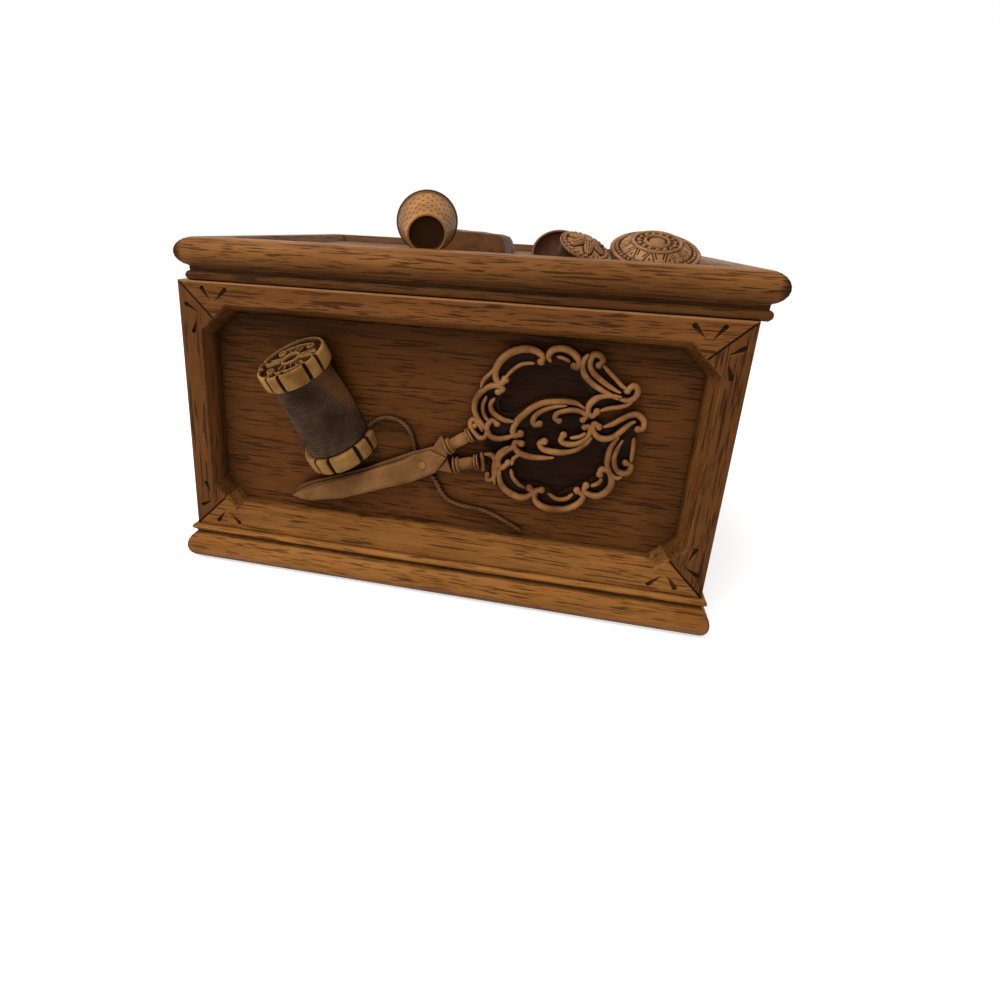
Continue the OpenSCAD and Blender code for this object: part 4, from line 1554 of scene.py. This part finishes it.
        lower = [
            (1.5, 1.2, True, False, ((36.4, -0.4), (34.2, 0.2), (33.7, -2.1), (35.9, -4.7),
                                     (40.4, -6.0),
                                     (45.5, -5.8), (51.0, -4.8))),
            (1.5, 1.1, True, False, ((46.1, 1.7), (44.3, 0.6), (46.0, -1.8), (50.4, -2.6), (55.4, -2.0),
                                     (60.2, 0.0), (63.6, 3.1), (65.7, 6.3))),
            (1.4, 1.3, True, True, ((53.9, 5.6), (53.1, 3.0), (55.8, 1.7), (59.5, 2.4), (63.0, 4.9),
                                    (64.6, 8.0), (64.1, 10.6), (62.3, 10.2))),
            (0.8, 0.8, False, False, ((56.7, 4.8), (60.4, 5.7), (63.0, 7.8))),
            (1.3, 1.5, False, True, ((34.7, -1.5), (31.0, -3.9), (27.8, -7.1), (27.1, -10.3),
                                     (28.9, -12.7), (31.5, -9.9))),
            (1.4, 1.5, False, True, ((28.2, -12.7), (28.1, -17.6), (30.0, -21.7), (33.4, -24.4),
                                     (37.6, -25.8), (41.3, -25.0), (43.5, -22.5), (41.8, -20.8))),
            (0.9, 0.9, False, False, ((33.1, -12.6), (34.1, -16.3), (36.8, -19.3), (40.0, -20.8))),
            (0.9, 0.9, False, False, ((37.2, -4.5), (33.9, -7.3), (33.1, -10.7))),
            (1.4, 1.5, True, True, ((47.3, -21.0), (44.9, -21.8), (44.6, -25.5), (47.4, -28.5),
                                    (51.9, -29.6),
                                    (57.1, -29.0), (61.3, -27.2), (64.4, -24.3), (65.3, -21.1),
                                    (62.5, -19.1))),
            (0.9, 0.9, False, False, ((50.2, -21.8), (54.0, -24.1), (58.2, -23.5), (60.9, -20.5))),
            (1.4, 1.5, True, True, ((66.0, -16.2), (65.4, -18.7), (68.2, -20.4), (71.6, -20.4),
                                    (74.6, -18.1),
                                    (76.3, -14.8), (76.0, -11.1), (74.2, -8.3), (71.6, -8.0),
                                    (71.1, -10.3))),
            (0.9, 0.9, False, False, ((68.0, -15.9), (70.8, -14.4), (72.1, -11.8))),
            (1.3, 1.3, False, False, ((76.5, 7.6), (74.3, 3.3), (73.5, -1.3), (73.7, -5.8),
                                      (75.4, -9.3),
                                      (77.8, -10.8), (80.2, -10.0))),
            (1.2, 1.4, False, True, ((78.3, 6.5), (76.5, 1.8), (75.9, -2.8), (77.1, -6.8), (79.6, -8.5),
                                     (82.4, -7.9), (83.2, -4.8), (80.8, -3.6))),
            (0.9, 0.9, False, False, ((82.6, 7.9), (82.9, 2.6), (82.9, -2.8))),
            (1.4, 1.2, True, False, ((68.0, 10.8), (65.9, 12.3), (65.7, 9.4), (67.5, 6.8), (70.7, 5.8),
                                     (74.4, 7.1), (77.4, 10.4), (80.1, 13.7), (82.3, 15.1))),
            (1.1, 1.4, False, True, ((69.6, 11.2), (73.0, 12.7), (76.7, 15.3), (80.0, 17.4),
                                     (82.7, 17.7),
                                     (85.4, 15.4), (85.5, 12.2), (83.6, 11.7))),
            (1.0, 0.9, False, False, ((19.4, -6.4), (20.2, -10.4), (20.9, -15.2))),
            (1.2, 1.2, False, True, ((20.6, -7.0), (24.2, -7.4), (26.2, -10.6), (26.6, -14.8),
                                     (25.4, -18.4),
                                     (22.9, -19.0), (22.8, -16.8))),
            (1.2, 1.0, False, False, ((26.5, -21.0), (25.6, -15.0), (25.8, -10.0), (27.6, -5.5),
                                      (31.5, -2.0))),
        ]
        return {"upper": upper, "lower": lower}

    def upper_bevel_shade(self, sheet: NodeSheet) -> Socket:
        """Paints shade on the blades' upper bevel, above the ridge line.

        Args:
            sheet: the material's node tree.

        Returns:
            The mask, 0 to 1.
        """
        start, end = (-70.5, self.panel_z - 38.6), (-6.0, self.panel_z - 9.8)
        way = Vector((end[0] - start[0], end[1] - start[1])).normalized()
        rise = sheet.math("MULTIPLY", sheet.math("SUBTRACT", sheet.z, start[1] * MM), way.x)
        run = sheet.math("MULTIPLY", sheet.math("SUBTRACT", sheet.x, start[0] * MM), way.y)
        shade = sheet.fit_mm(sheet.math("SUBTRACT", rise, run), -0.5, 0.1, 0.0, 0.42)
        return sheet.product(shade, sheet.fit_mm(sheet.x, -6, -30))

    def plate(self, clay: Clay, outline: Sequence[Flat], inner: Sequence[Flat]) -> None:
        """Adds a low ring that joins the scrolls.

        Args:
            clay: the form it goes into.
            outline: its outer outline.
            inner: its inner outline.
        """
        both = bmesh.new()
        loops = []
        for route in (outline, inner):
            ring = [both.verts.new((p[0], p[1], 0)) for p in route]
            loops += [both.edges.new((a, b)) for a, b in zip(ring, ring[1:] + ring[:1])]
        made = bmesh.ops.triangle_fill(both, edges=loops, use_beauty=True)
        faces = [g for g in made["geom"] if isinstance(g, bmesh.types.BMFace)]
        up_side = bmesh.ops.extrude_face_region(both, geom=faces)
        moved = [g for g in up_side["geom"] if isinstance(g, bmesh.types.BMVert)]
        bmesh.ops.translate(both, verts=moved, vec=(0, 0, self.plate_h))
        start = len(clay.points)
        for vert in both.verts:
            # The plate, low between the scrolls, takes the full stain: stain and painted shade.
            clay.add(self.on_panel(vert.co.x, vert.co.y, vert.co.z), 1.0)
        for face in both.faces:
            clay.faces.append(tuple(start + v.index for v in face.verts))
        both.free()

    def handle(self, name: str, key: str, outline: Sequence[Flat], inner: Sequence[Flat],
               finish: Material) -> None:
        """Builds one handle from its plate and scrolls.

        Args:
            name: node that it stands for.
            key: upper or lower.
            outline: outer outline of its plate.
            inner: inner outline of its plate.
            finish: its material.
        """
        clay = Clay()
        self.plate(clay, outline, inner)
        for first, last, ball_a, ball_b, route in self.scrolls()[key]:
            line = flow(route, 5)
            count = len(line) - 1
            path, radii = [], []
            for i, (x, h) in enumerate(line):
                t = i / count
                r = self.scroll_share * (first + (last - first) * t)
                r *= 1.0 + self.scroll_swell * math.sin(math.pi * t)
                for has_ball, near in ((ball_a, t), (ball_b, 1 - t)):
                    if not has_ball and near < self.scroll_taper:
                        r *= self.scroll_tip + (1 - self.scroll_tip) * near / self.scroll_taper
                r = min(r, self.scroll_most)
                path.append(self.on_panel(x, h, self.handle_h - r * self.scroll_tall - 0.15))
                radii.append(r)
            # The strokes' lower sides are darkened: stain and painted shade.
            clay.tube(path, radii, 12, flat=self.scroll_tall, low_side_stain_and_shade=0.8)
            for has_ball, (x, h), r in ((ball_a, line[0], first), (ball_b, line[-1], last)):
                if has_ball:
                    size = r * self.ball_share
                    clay.ball(self.on_panel(x, h, self.handle_h - size), size)
        item = clay.piece(name + "_scrolls", finish, 60)
        settle(item, Body.BOX, [name], "ornament")

    def shank(self, name: str, start: Flat, end: Flat, finish: Material) -> None:
        """Builds one turned shank with its collars.

        Args:
            name: node that it stands for.
            start: its first end on the panel.
            end: its other end.
            finish: its material.
        """
        clay = Clay()
        way = Vector((end[0] - start[0], end[1] - start[1]))
        length = way.length
        first = ((0.0, 0.8), (0.3, 1.42), (1.0, 1.5), (1.35, 1.2), (1.55, 1.12), (1.8, 1.36),
                 (2.5, 1.4), (2.95, 1.1), (3.2, 0.92), (4.2, 0.95), (length * 0.55, 1.0))
        last = ((3.2, 0.96), (2.3, 0.86), (1.9, 1.28), (1.4, 1.34), (1.1, 1.0), (0.8, 1.26),
                (0.3, 1.3), (0.0, 0.9))
        bulges = (*first, *((length - left, share) for left, share in last))
        path, radii = [], []
        for along, share in bulges:
            x = start[0] + way.x * along / length
            h = start[1] + way.y * along / length
            path.append(self.on_panel(x, h, self.shank_r))
            radii.append(self.shank_r * share)
        clay.tube(path, radii, 28)
        self.bed(clay, 0.2)
        item = clay.piece(name + "_turned", finish, 35)
        settle(item, Body.BOX, [name], "ornament")

    def blade(self, name: str, outline: Sequence[Flat], low: float, high: float,
              chamfer: float, finish: Material, detail: bool = False) -> None:
        """Builds one blade with a ground bevel along its edges.

        Args:
            name: node that it stands for.
            outline: its outline on the panel.
            low: height of its underside.
            high: height of its face.
            chamfer: width of the bevel.
            finish: its material.
            detail: whether it is a small part that stands for no node.
        """
        form = bmesh.new()
        ring = [form.verts.new((p[0], p[1], 0)) for p in outline]
        face = form.faces.new(ring)
        bmesh.ops.recalc_face_normals(form, faces=[face])
        if face.normal.z < 0:
            face.normal_flip()
        up_side = bmesh.ops.extrude_face_region(form, geom=[face])
        top_face = [g for g in up_side["geom"] if isinstance(g, bmesh.types.BMFace)][0]
        bmesh.ops.translate(form, verts=list(top_face.verts), vec=(0, 0, high - low))
        bmesh.ops.inset_region(form, faces=[top_face], thickness=chamfer, depth=0.0,
                               use_even_offset=True)
        for vert in form.verts:
            if vert.co.z > 0.01 and vert not in top_face.verts:
                vert.co.z -= chamfer * 0.45
        form.verts.index_update()
        clay = Clay()
        for vert in form.verts:
            clay.add(self.on_panel(vert.co.x, vert.co.y, low + vert.co.z))
        for item_face in form.faces:
            clay.faces.append(tuple(v.index for v in item_face.verts))
        form.free()
        item = clay.piece(name + "_ground", finish, 20)
        settle(item, Body.BOX, [] if detail else [name], "ornament")

    def screw(self, finish: Material) -> None:
        """Builds the pivot screw with its domed head.

        Args:
            finish: its material.
        """
        at = self.on_panel(*self.pivot, self.lift)
        clay = Clay(Matrix.Translation(at) @ Matrix.Rotation(math.radians(90), 4, "X"))
        top = 2 * self.blade_t
        clay.turned([(1.1, 0), (1.1, top), (1.9, top), (2.0, top + 0.2), (1.85, top + 0.45),
                     (1.4, top + 0.68), (0.8, top + 0.78), (0.1, top + 0.8)], 40)
        item = clay.piece("scissors_pivot_screw_domed", finish, 50)
        settle(item, Body.BOX, ["scissors_pivot_screw"], "ornament")

    def build(self) -> None:
        """Builds blades, screw, shanks and handles."""
        carved = CarvedFinish("scissors_carved", (162, 112, 66), (104, 64, 32), stain=(20, 8, 3),
                              crevice=0.0032, open_low=0.35, open_high=0.88)
        ground = CarvedFinish("scissors_blade", (136, 94, 54), (104, 69, 38), crevice=0.002,
                              rough=0.38, masks=(self.upper_bevel_shade,))
        metal = carved.material()
        self.handle("scissors_upper_handle", "upper", self.upper_plate, self.upper_window, metal)
        self.handle("scissors_lower_handle", "lower", self.lower_plate, self.lower_window, metal)
        self.shank("scissors_upper_shank", (3.4, -6.4), (14.6, 1.3), metal)
        self.shank("scissors_lower_shank", (7, -14.5), (18.6, -11.4), metal)
        steel = ground.material()
        low, mid = self.lift, self.lift + self.blade_t
        self.blade("scissors_back_blade", self.back_outline, low, mid, 0.5, steel)
        self.blade("scissors_front_blade", self.front_outline, mid, mid + self.blade_t, 1.3, steel)
        for name, outline in (("scissors_upper_tang", self.upper_tang),
                              ("scissors_lower_tang", self.lower_tang)):
            self.blade(name, outline, low + 0.1, mid + 0.15, 0.35, steel, detail=True)
        self.screw(metal)


@dataclass
class Lid:
    """The lid: four mitred rails, a sunk panel and locating battens."""

    top_z: float = 156.5
    seam_z: float = 138.0
    middle_x: float = 4.0

    def neck_and_low_shade(self, sheet: NodeSheet) -> Socket:
        """Paints shade in the neck groove and on the lower part of the rounded edge.

        Args:
            sheet: the material's node tree.

        Returns:
            The mask, 0 to 1.
        """
        neck = sheet.fit_mm(sheet.off(sheet.z, self.seam_z + 4.9), 0.5, 1.8, 0.8, 0.0)
        low = sheet.fit_mm(sheet.z, self.seam_z + 5.5, self.seam_z + 14.0, 0.55, 0.0)
        return sheet.highest(neck, low)

    def end_shade(self, sheet: NodeSheet) -> Socket:
        """Darkens the front rail's two rounded ends."""
        return sheet.fit_mm(sheet.off(sheet.x, self.middle_x), 119.4, 121.6, 0.0, 0.75)

    def lid_top_highlight(self, sheet: NodeSheet) -> Socket:
        """Paints a highlight along the front rail's top where it turns to the viewer."""
        high = sheet.fit_mm(sheet.z, self.top_z - 1.2, self.top_z - 0.4, 0.0, 0.30)
        return sheet.product(high, sheet.fit_mm(sheet.y, -80, -84))

    def build(self) -> None:
        """Dresses the lid's pieces."""
        light, dark = (146, 95, 48), (98, 57, 24)
        along = StainedWood("lid_wood_x", light, dark, masks=(self.neck_and_low_shade, self.end_shade),
                            lights=(self.lid_top_highlight,))
        across = StainedWood("lid_wood_y", light, dark, grain=Grain.Y, masks=(self.neck_and_low_shade,))
        behind = StainedWood("lid_wood_back", (112, 74, 42), (76, 46, 22), masks=(self.neck_and_low_shade,))
        for node, finish in (("lid_front_rail", along), ("lid_back_rail", behind),
                             ("lid_left_rail", across), ("lid_right_rail", across)):
            dress(node, finish.material(), "moulding_wood")
        sunk = StainedWood("lid_panel_wood", (122, 80, 42), (78, 46, 21))
        dress("lid_panel", sunk.material(), "panel_wood")
        batten = StainedWood("batten_wood", (150, 108, 64), (116, 78, 42))
        for node in ("lid_batten_front", "lid_batten_back", "lid_batten_left", "lid_batten_right"):
            dress(node, batten.material(), "inner_wood")


@dataclass
class Thimble(OnLid):
    """The thimble that lies on its side on the lid."""

    at: Flat = (-12.3, -69.0)
    mouth_r: float = 14.0
    end_r: float = 8.5
    length: float = 24.0
    rim: float = 2.6
    turn: float = 13.0
    dimple_rows: int = 7
    first_row: float = 3.2
    row_gap: float = 2.4
    dimples_round: int = 18
    dimple_r: float = 0.5
    dimple_deep: float = 0.4

    def frame(self) -> Matrix:
        """Gives the thimble's frame, from its closed end along local Z.

        Returns:
            The frame in millimetres.
        """
        slope = math.atan((self.mouth_r - self.end_r) / self.length)
        low = self.floor_z + self.end_r * math.cos(slope) + 1.3
        return (Matrix.Translation((*self.at, low))
                @ Matrix.Rotation(math.radians(self.turn), 4, "Z")
                @ Matrix.Rotation(slope - math.pi / 2, 4, "X"))

    def body(self, finish: Material) -> None:
        """Builds the cone with its rows of dimples and hollow closed end.

        Args:
            finish: its material.
        """
        clay = Clay(self.frame())
        long = self.length - self.rim
        rows: list[Flat] = [(0.3, 1.6), (self.end_r - 2.0, 1.6), (self.end_r - 1.3, 1.3),
                            (self.end_r - 1.0, 0.3), (self.end_r - 0.7, 0.0),
                            (self.end_r - 0.2, 0.05)]
        steps = 150
        rows += [(self.end_r + (self.mouth_r - 0.6 - self.end_r) * k / steps, long * k / steps)
                 for k in range(1, steps + 1)]
        rows += [(self.mouth_r - 2.6, long), (self.mouth_r - 2.8, long - 1.0), (0.3, long - 1.0)]

        def dimpled(r: float, z: float, angle: float) -> tuple[float, ...]:
            """Sinks the dimples and leaves stain in them and beside the rim.

            Args:
                r: distance from the middle.
                z: height on the profile.
                angle: the angle in radians.

            Returns:
                Radius, height and, beyond the end, stain.
            """
            if z < 1.2 or z > long - 0.4 or r < self.end_r:
                return r, z
            rim_stain = 0.9 * min(1.0, max(0.0, (z - long + 3.0) / 2.2))
            row = round((z - self.first_row) / self.row_gap)
            if not 0 <= row < self.dimple_rows:
                return r, z, rim_stain
            shift = 0.5 if row % 2 else 0.0
            spot = angle / math.tau * self.dimples_round + shift
            off_a = (spot - round(spot)) * math.tau / self.dimples_round * r
            off_z = z - (self.first_row + row * self.row_gap)
            deep = ridge(math.hypot(off_a, off_z), self.dimple_r)
            return r - self.dimple_deep * deep, z, max(rim_stain, deep)

        clay.turned(rows, 360, dimpled)
        self.bed(clay)
        item = clay.piece("thimble_dimpled", finish, 60)
        settle(item, Body.LID, ["thimble"], "ornament")

    def band(self, finish: Material) -> None:
        """Builds the rolled rim band at the mouth.

        Args:
            finish: its material.
        """
        clay = Clay(self.frame())
        z0 = self.length - self.rim
        profile: list[Flat] = [(self.mouth_r - 2.0, z0 + 0.05)]
        for k in range(9):
            a = math.pi * k / 8
            profile.append((self.mouth_r - 0.75 + 0.75 * math.sin(a),
                            z0 + 0.1 + 1.2 - 1.2 * math.cos(a)))
        profile += [(self.mouth_r - 1.9, z0 + 2.4), (self.mouth_r - 1.9, z0 + 0.05)]
        clay.turned(profile, 120)
        self.bed(clay)
        item = clay.piece("thimble_rim_rolled", finish, 60)
        settle(item, Body.LID, ["thimble_rim"], "ornament")

    def end_shade(self, sheet: NodeSheet) -> Socket:
        """Darkens the hollow of the closed end.

        Args:
            sheet: the material's node tree.

        Returns:
            The mask, 0 to 1.
        """
        mid = self.frame() @ Vector((0, 0, 1.2))
        away = sheet.tree.nodes.new("ShaderNodeVectorMath")
        away.operation = "DISTANCE"
        sheet.put(away.inputs[0], sheet.place)
        away.inputs[1].default_value = tuple(mid * MM)
        return sheet.fit_mm(away.outputs["Value"], self.end_r - 1.0, self.end_r - 0.7, 0.93, 0.0)

    def build(self) -> None:
        """Builds the thimble."""
        brass = CarvedFinish("thimble_wood", (180, 128, 70), (142, 94, 46), crevice=0.0012,
                             open_low=0.45, open_high=0.92, rough=0.34, masks=(self.end_shade,))
        band = CarvedFinish("thimble_band", (72, 48, 30), (38, 24, 14), crevice=0.002)
        self.body(brass.material())
        self.band(band.material())


@dataclass
class Buttons(OnLid):
    """The three carved buttons on the lid."""

    large_at: Flat = (83.0, -52.0)
    large_r: float = 18.5
    large_drawn_r: float = 20.5
    large_tip: float = 24.0
    petal_at: Flat = (53.5, -60.0)
    petal_r: float = 11.0
    petal_drawn_r: float = 10.0
    petal_tip: float = 30.0
    hollow_at: Flat = (43.2, -40.0)
    hollow_r: float = 12.5
    hollow_tip: float = 55.0
    neck: float = 1.2

    def tipped(self, at: Flat, low: float, tip: float, turn: float) -> Matrix:
        """Gives a tipped button's frame.

        Args:
            at: its place on the lid.
            low: height of its middle above the lid panel.
            tip: how far it tips to the front, in degrees.
            turn: how far it turns, in degrees.

        Returns:
            The frame in millimetres.
        """
        return (Matrix.Translation((*at, self.floor_z + low))
                @ Matrix.Rotation(math.radians(turn), 4, "Z")
                @ Matrix.Rotation(math.radians(tip), 4, "X"))

    @staticmethod
    def beads(r: float, angle: float, ring: float, count: int, size: float) -> float:
        """Gives the height of a ring of beads.

        Args:
            r: distance from the middle.
            angle: the angle in radians.
            ring: radius of the ring.
            count: number of beads.
            size: radius of a bead.

        Returns:
            Height above the ground, 0 outside the beads.
        """
        spot = angle / math.tau * count
        off = (spot - round(spot)) * math.tau / count * ring
        far = math.hypot(off, r - ring)
        return math.sqrt(max(0.0, size * size - far * far))

    def large_height(self, r: float, angle: float) -> float:
        """Gives the large button's carved height, from rings drawn for large_drawn_r.

        Args:
            r: distance from the middle.
            angle: the angle in radians.

        Returns:
            The height in millimetres.
        """
        r = r * self.large_drawn_r / self.large_r
        if r > 19.9:
            return 2.4 - 0.5 * (r - 19.9) / 0.6
        if r > 18.5:
            return 2.4
        if r > 16.5:
            return 2.2 + 1.15 * self.beads(r, angle, 17.5, 44, 0.98)
        if r > 11.5:
            t = (16.5 - r) / 5.0
            high = 2.75 + 2.7 * math.sin(t * math.pi / 2)
            spot = angle / math.tau * 10.0
            off = abs((spot - round(spot)) * math.tau / 10.0 * r)
            line = (r - 11.0) * 0.52
            high -= 0.62 * ridge(off - line, 0.34)
            if r < 14.6:
                high -= 0.62 * ridge(off - line - 1.3, 0.30)
            high -= 0.75 * ridge(math.hypot(off, r - 14.7), 0.42)
            high -= 0.4 * ridge(r - 16.4, 0.3)
            return high
        if r > 9.9:
            return 5.6 + 0.85 * ridge(r - 10.7, 0.62) - 0.4 * ridge(r - 11.5, 0.25)
        if r > 6.3:
            return 5.35 + 1.15 * self.beads(r, angle, 8.1, 15, 1.05)
        if r > 4.1:
            return 5.7 + 1.2 * ridge(r - 5.3, 0.62)
        return 6.1 + 0.75 * math.cos(r / 4.1 * math.pi / 2) - 0.5 * ridge(r - 4.1, 0.45)

    def petal_height(self, r: float, angle: float) -> float:
        """Gives the petal button's carved height, from rings drawn for petal_drawn_r.

        Args:
            r: distance from the middle.
            angle: the angle in radians.

        Returns:
            The height in millimetres.
        """
        r = r / (self.petal_r / self.petal_drawn_r)
        if r > 9.3:
            return 1.3
        if r > 7.8:
            return 1.7 + 0.75 * self.beads(r, angle, 8.55, 26, 0.84)
        dome = 1.9 + 2.8 * math.cos(r / 8.0 * math.pi / 2) ** 0.8
        spot = angle / math.tau * 6.0
        off = abs((spot - round(spot)) * math.tau / 6.0 * r)
        half = 1.75 * max(0.0, math.sin(min(1.0, r / 7.8) * math.pi)) ** 0.55 + 0.25
        leaf = 0.35 * max(0.0, 1.0 - (off / half) ** 2) if off < half else -0.75
        groove = ridge(off - half, 0.28)
        vein = 0.0
        if 2.4 < r < 7.0:
            vein = ridge(off, 0.20) + 0.8 * ridge(off - 0.55 * half, 0.18)
        return dome + leaf - 0.55 * groove - 0.4 * vein - 0.5 * ridge(r - 1.7, 0.3)

    def relief(self, name: str, nodes: Sequence[str], frame: Matrix, radius: float, rings: int,
               steps: int, height: Callable[[float, float], float], deep: float,
               finish: Material, under: float = 0.55) -> None:
        """Builds a button as a carved disc on a stem down to the lid.

        Args:
            name: name of the piece.
            nodes: nodes that it stands for.
            frame: its frame.
            radius: its radius.
            rings: number of rings of points.
            steps: number of points in a ring.
            height: carved height from radius and angle.
            deep: depth of the stem.
            finish: its material.
            under: painted shade under the disc, on its stem and side.
        """
        clay = Clay(frame)
        stem, face, reach = radius - self.neck, math.inf, 0.55
        profile: list[Flat] = [(0.3, -deep), (stem, -deep), (stem, -0.1), (radius - 0.15, 0.1),
                               (radius, 0.7)]
        rows = [(radius * (1 - k / rings) + 0.15 * k / rings, face) for k in range(rings + 1)]

        def carve(r: float, z: float, angle: float) -> tuple[float, float, float]:
            """Raises the carved face, leaves stain in its hollows and paints shade under the disc.

            Args:
                r: distance from the middle.
                z: height on the profile.
                angle: the angle in radians.

            Returns:
                Radius, height and stain.
            """
            if z != face:
                # Painted shade on the stem below the disc and, lighter, on its side.
                return r, z, under if z < 0 else under * 0.4
            high = height(r, angle)
            near = [height(r + reach * math.cos(a), angle + reach * math.sin(a) / max(r, 0.6))
                    for a in (0.0, math.pi / 2, math.pi, 3 * math.pi / 2)
                    if r + reach * math.cos(a) < radius]
            hollow = (sum(near) / len(near) - high) / 0.22
            return r, high, min(1.0, max(0.0, hollow))

        clay.turned(profile + rows, steps, carve)
        self.bed(clay)
        item = clay.piece(name, finish, 65)
        settle(item, Body.LID, nodes, "ornament")

    def hollow(self, frame: Matrix, finish: Material) -> None:
        """Builds the hollow dished button.

        Args:
            frame: its frame.
            finish: its material.
        """
        clay = Clay(frame)
        r = self.hollow_r
        profile: list[Flat] = [(0.3, -14), (r - 1.4, -14), (r - 1.4, 0), (r - 0.2, 0.1), (r, 0.6),
                               (r, 1.9), (r - 0.25, 2.3), (r - 0.7, 2.4), (r - 1.1, 2.2)]
        profile += [((r - 1.2) * math.cos(a), 2.0 - 2.6 * math.sin(a))
                    for a in (math.pi / 2 * k / 16 for k in range(1, 16))]

        def stained(radius: float, z: float, angle: float) -> tuple[float, float, float]:
            """Paints shade in the dish and down the side.

            Args:
                radius: distance from the axis.
                z: height on the profile.
                angle: the angle in radians.

            Returns:
                Radius, height and stain.
            """
            if z < 0.3:
                return radius, z, 0.75
            return radius, z, 0.0 if radius > r - 1.15 else 0.9

        clay.turned(profile, 120, stained)
        self.bed(clay)
        item = clay.piece("hollow_button_dished", finish, 60)
        settle(item, Body.LID, ["hollow_button"], "ornament")

    def build(self) -> None:
        """Builds the buttons."""
        tan = CarvedFinish("button_wood", (176, 128, 86), (130, 86, 50), crevice=0.0014,
                           open_low=0.35, open_high=0.9, rough=0.36)
        # The hollow button's darker copy of the button wood is painted shade.
        dark = CarvedFinish("hollow_button_wood_shaded", (142, 96, 60), (100, 60, 34), crevice=0.003)
        low = self.large_r * math.sin(math.radians(self.large_tip)) - 1.6
        large = self.tipped(self.large_at, low, self.large_tip, 4)
        self.relief("large_button_carved", ["large_button", "large_button_boss"], large,
                    self.large_r, 100, 440, self.large_height, 24, tan.material())
        low = self.petal_r * math.sin(math.radians(self.petal_tip)) + 1.5
        petal = self.tipped(self.petal_at, low, self.petal_tip, 42)
        # The petal button's underside takes almost full painted shade.
        self.relief("petal_button_carved", ["petal_button"], petal, self.petal_r, 60, 300,
                    self.petal_height, 16, tan.material(), under=0.95)
        self.hollow(self.tipped(self.hollow_at, 2.8, self.hollow_tip, 3), dark.material())


@dataclass
class Ribbon(OnLid):
    """The folded end of a ribbon that lies behind the thimble."""

    at: Flat = (4.0, -6.0)
    turn: float = -8.0
    start_x: float = -25.8
    long: float = 40.2
    steps: int = 60
    crown: float = 18.4
    crown_steps: int = 12
    profile: tuple[Flat, ...] = ((-26.0, 12.4), (-14.0, 11.9), (-4.0, 11.4), (7.7, 10.6), (11.1, 9.8),
                                 (12.8, 7.6), (14.6, 0.2))

    def height(self, x: float) -> float:
        """Gives the height of the ribbon's top at a place along it.

        Args:
            x: place along the ribbon.

        Returns:
            The height above the lid's panel.
        """
        for (xa, za), (xb, zb) in zip(self.profile, self.profile[1:]):
            if x <= xb:
                return za + (zb - za) * (x - xa) / (xb - xa)
        return self.profile[-1][1]

    def build(self) -> None:
        """Builds the ribbon as a folded band with a few creases."""
        clay = Clay(Matrix.Translation((*self.at, self.floor_z))
                    @ Matrix.Rotation(math.radians(self.turn), 4, "Z"))
        rows = []
        for i in range(self.steps + 1):
            x = self.start_x + self.long * i / self.steps
            top = self.height(x) - 0.12 * (1 + math.sin(x * 0.5))
            side = ((9.8, 0.02), (9.9, top * 0.5), (9.6, top - 0.5))
            row = [(x, -y, z) for y, z in side]
            for k in range(self.crown_steps + 1):
                crease = 0.18 * math.sin(k * 1.3 + x * 0.2)
                y = -self.crown / 2 + self.crown * k / self.crown_steps
                row.append((x, y, max(0.1, top + crease - 0.3)))
            rows.append(row + [(x, y, z) for y, z in reversed(side)])
        clay.loft(rows)
        finish = CarvedFinish("ribbon_wood", (124, 84, 50), (84, 53, 30), crevice=0.003)
        item = clay.piece("ribbon_end_folded", finish.material(), 50)
        settle(item, Body.LID, ["ribbon_end"], "ornament")


def note_sizes() -> None:
    def plain(box: object) -> list:
        """Turns a box's corners into plain lists."""
        return [[float(v) for v in corner] for corner in box]

    with open("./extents.json", "w") as out:
        json.dump({"cad": plain(CAD_BOX), "visual": plain(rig.bounds())}, out)


def main() -> None:
    """Builds the scene in order."""
    logging.basicConfig(level=logging.INFO, format="%(name)s: %(message)s")
    View().build()
    Studio().build()
    for part in (Carcass(), Spool(), LooseThread(), Scissors(), Lid(), Thimble(), Buttons(),
                 Ribbon()):
        part.build()
        log.info("%s done", type(part).__name__)
    note_sizes()


if __name__ == "__main__":
    main()
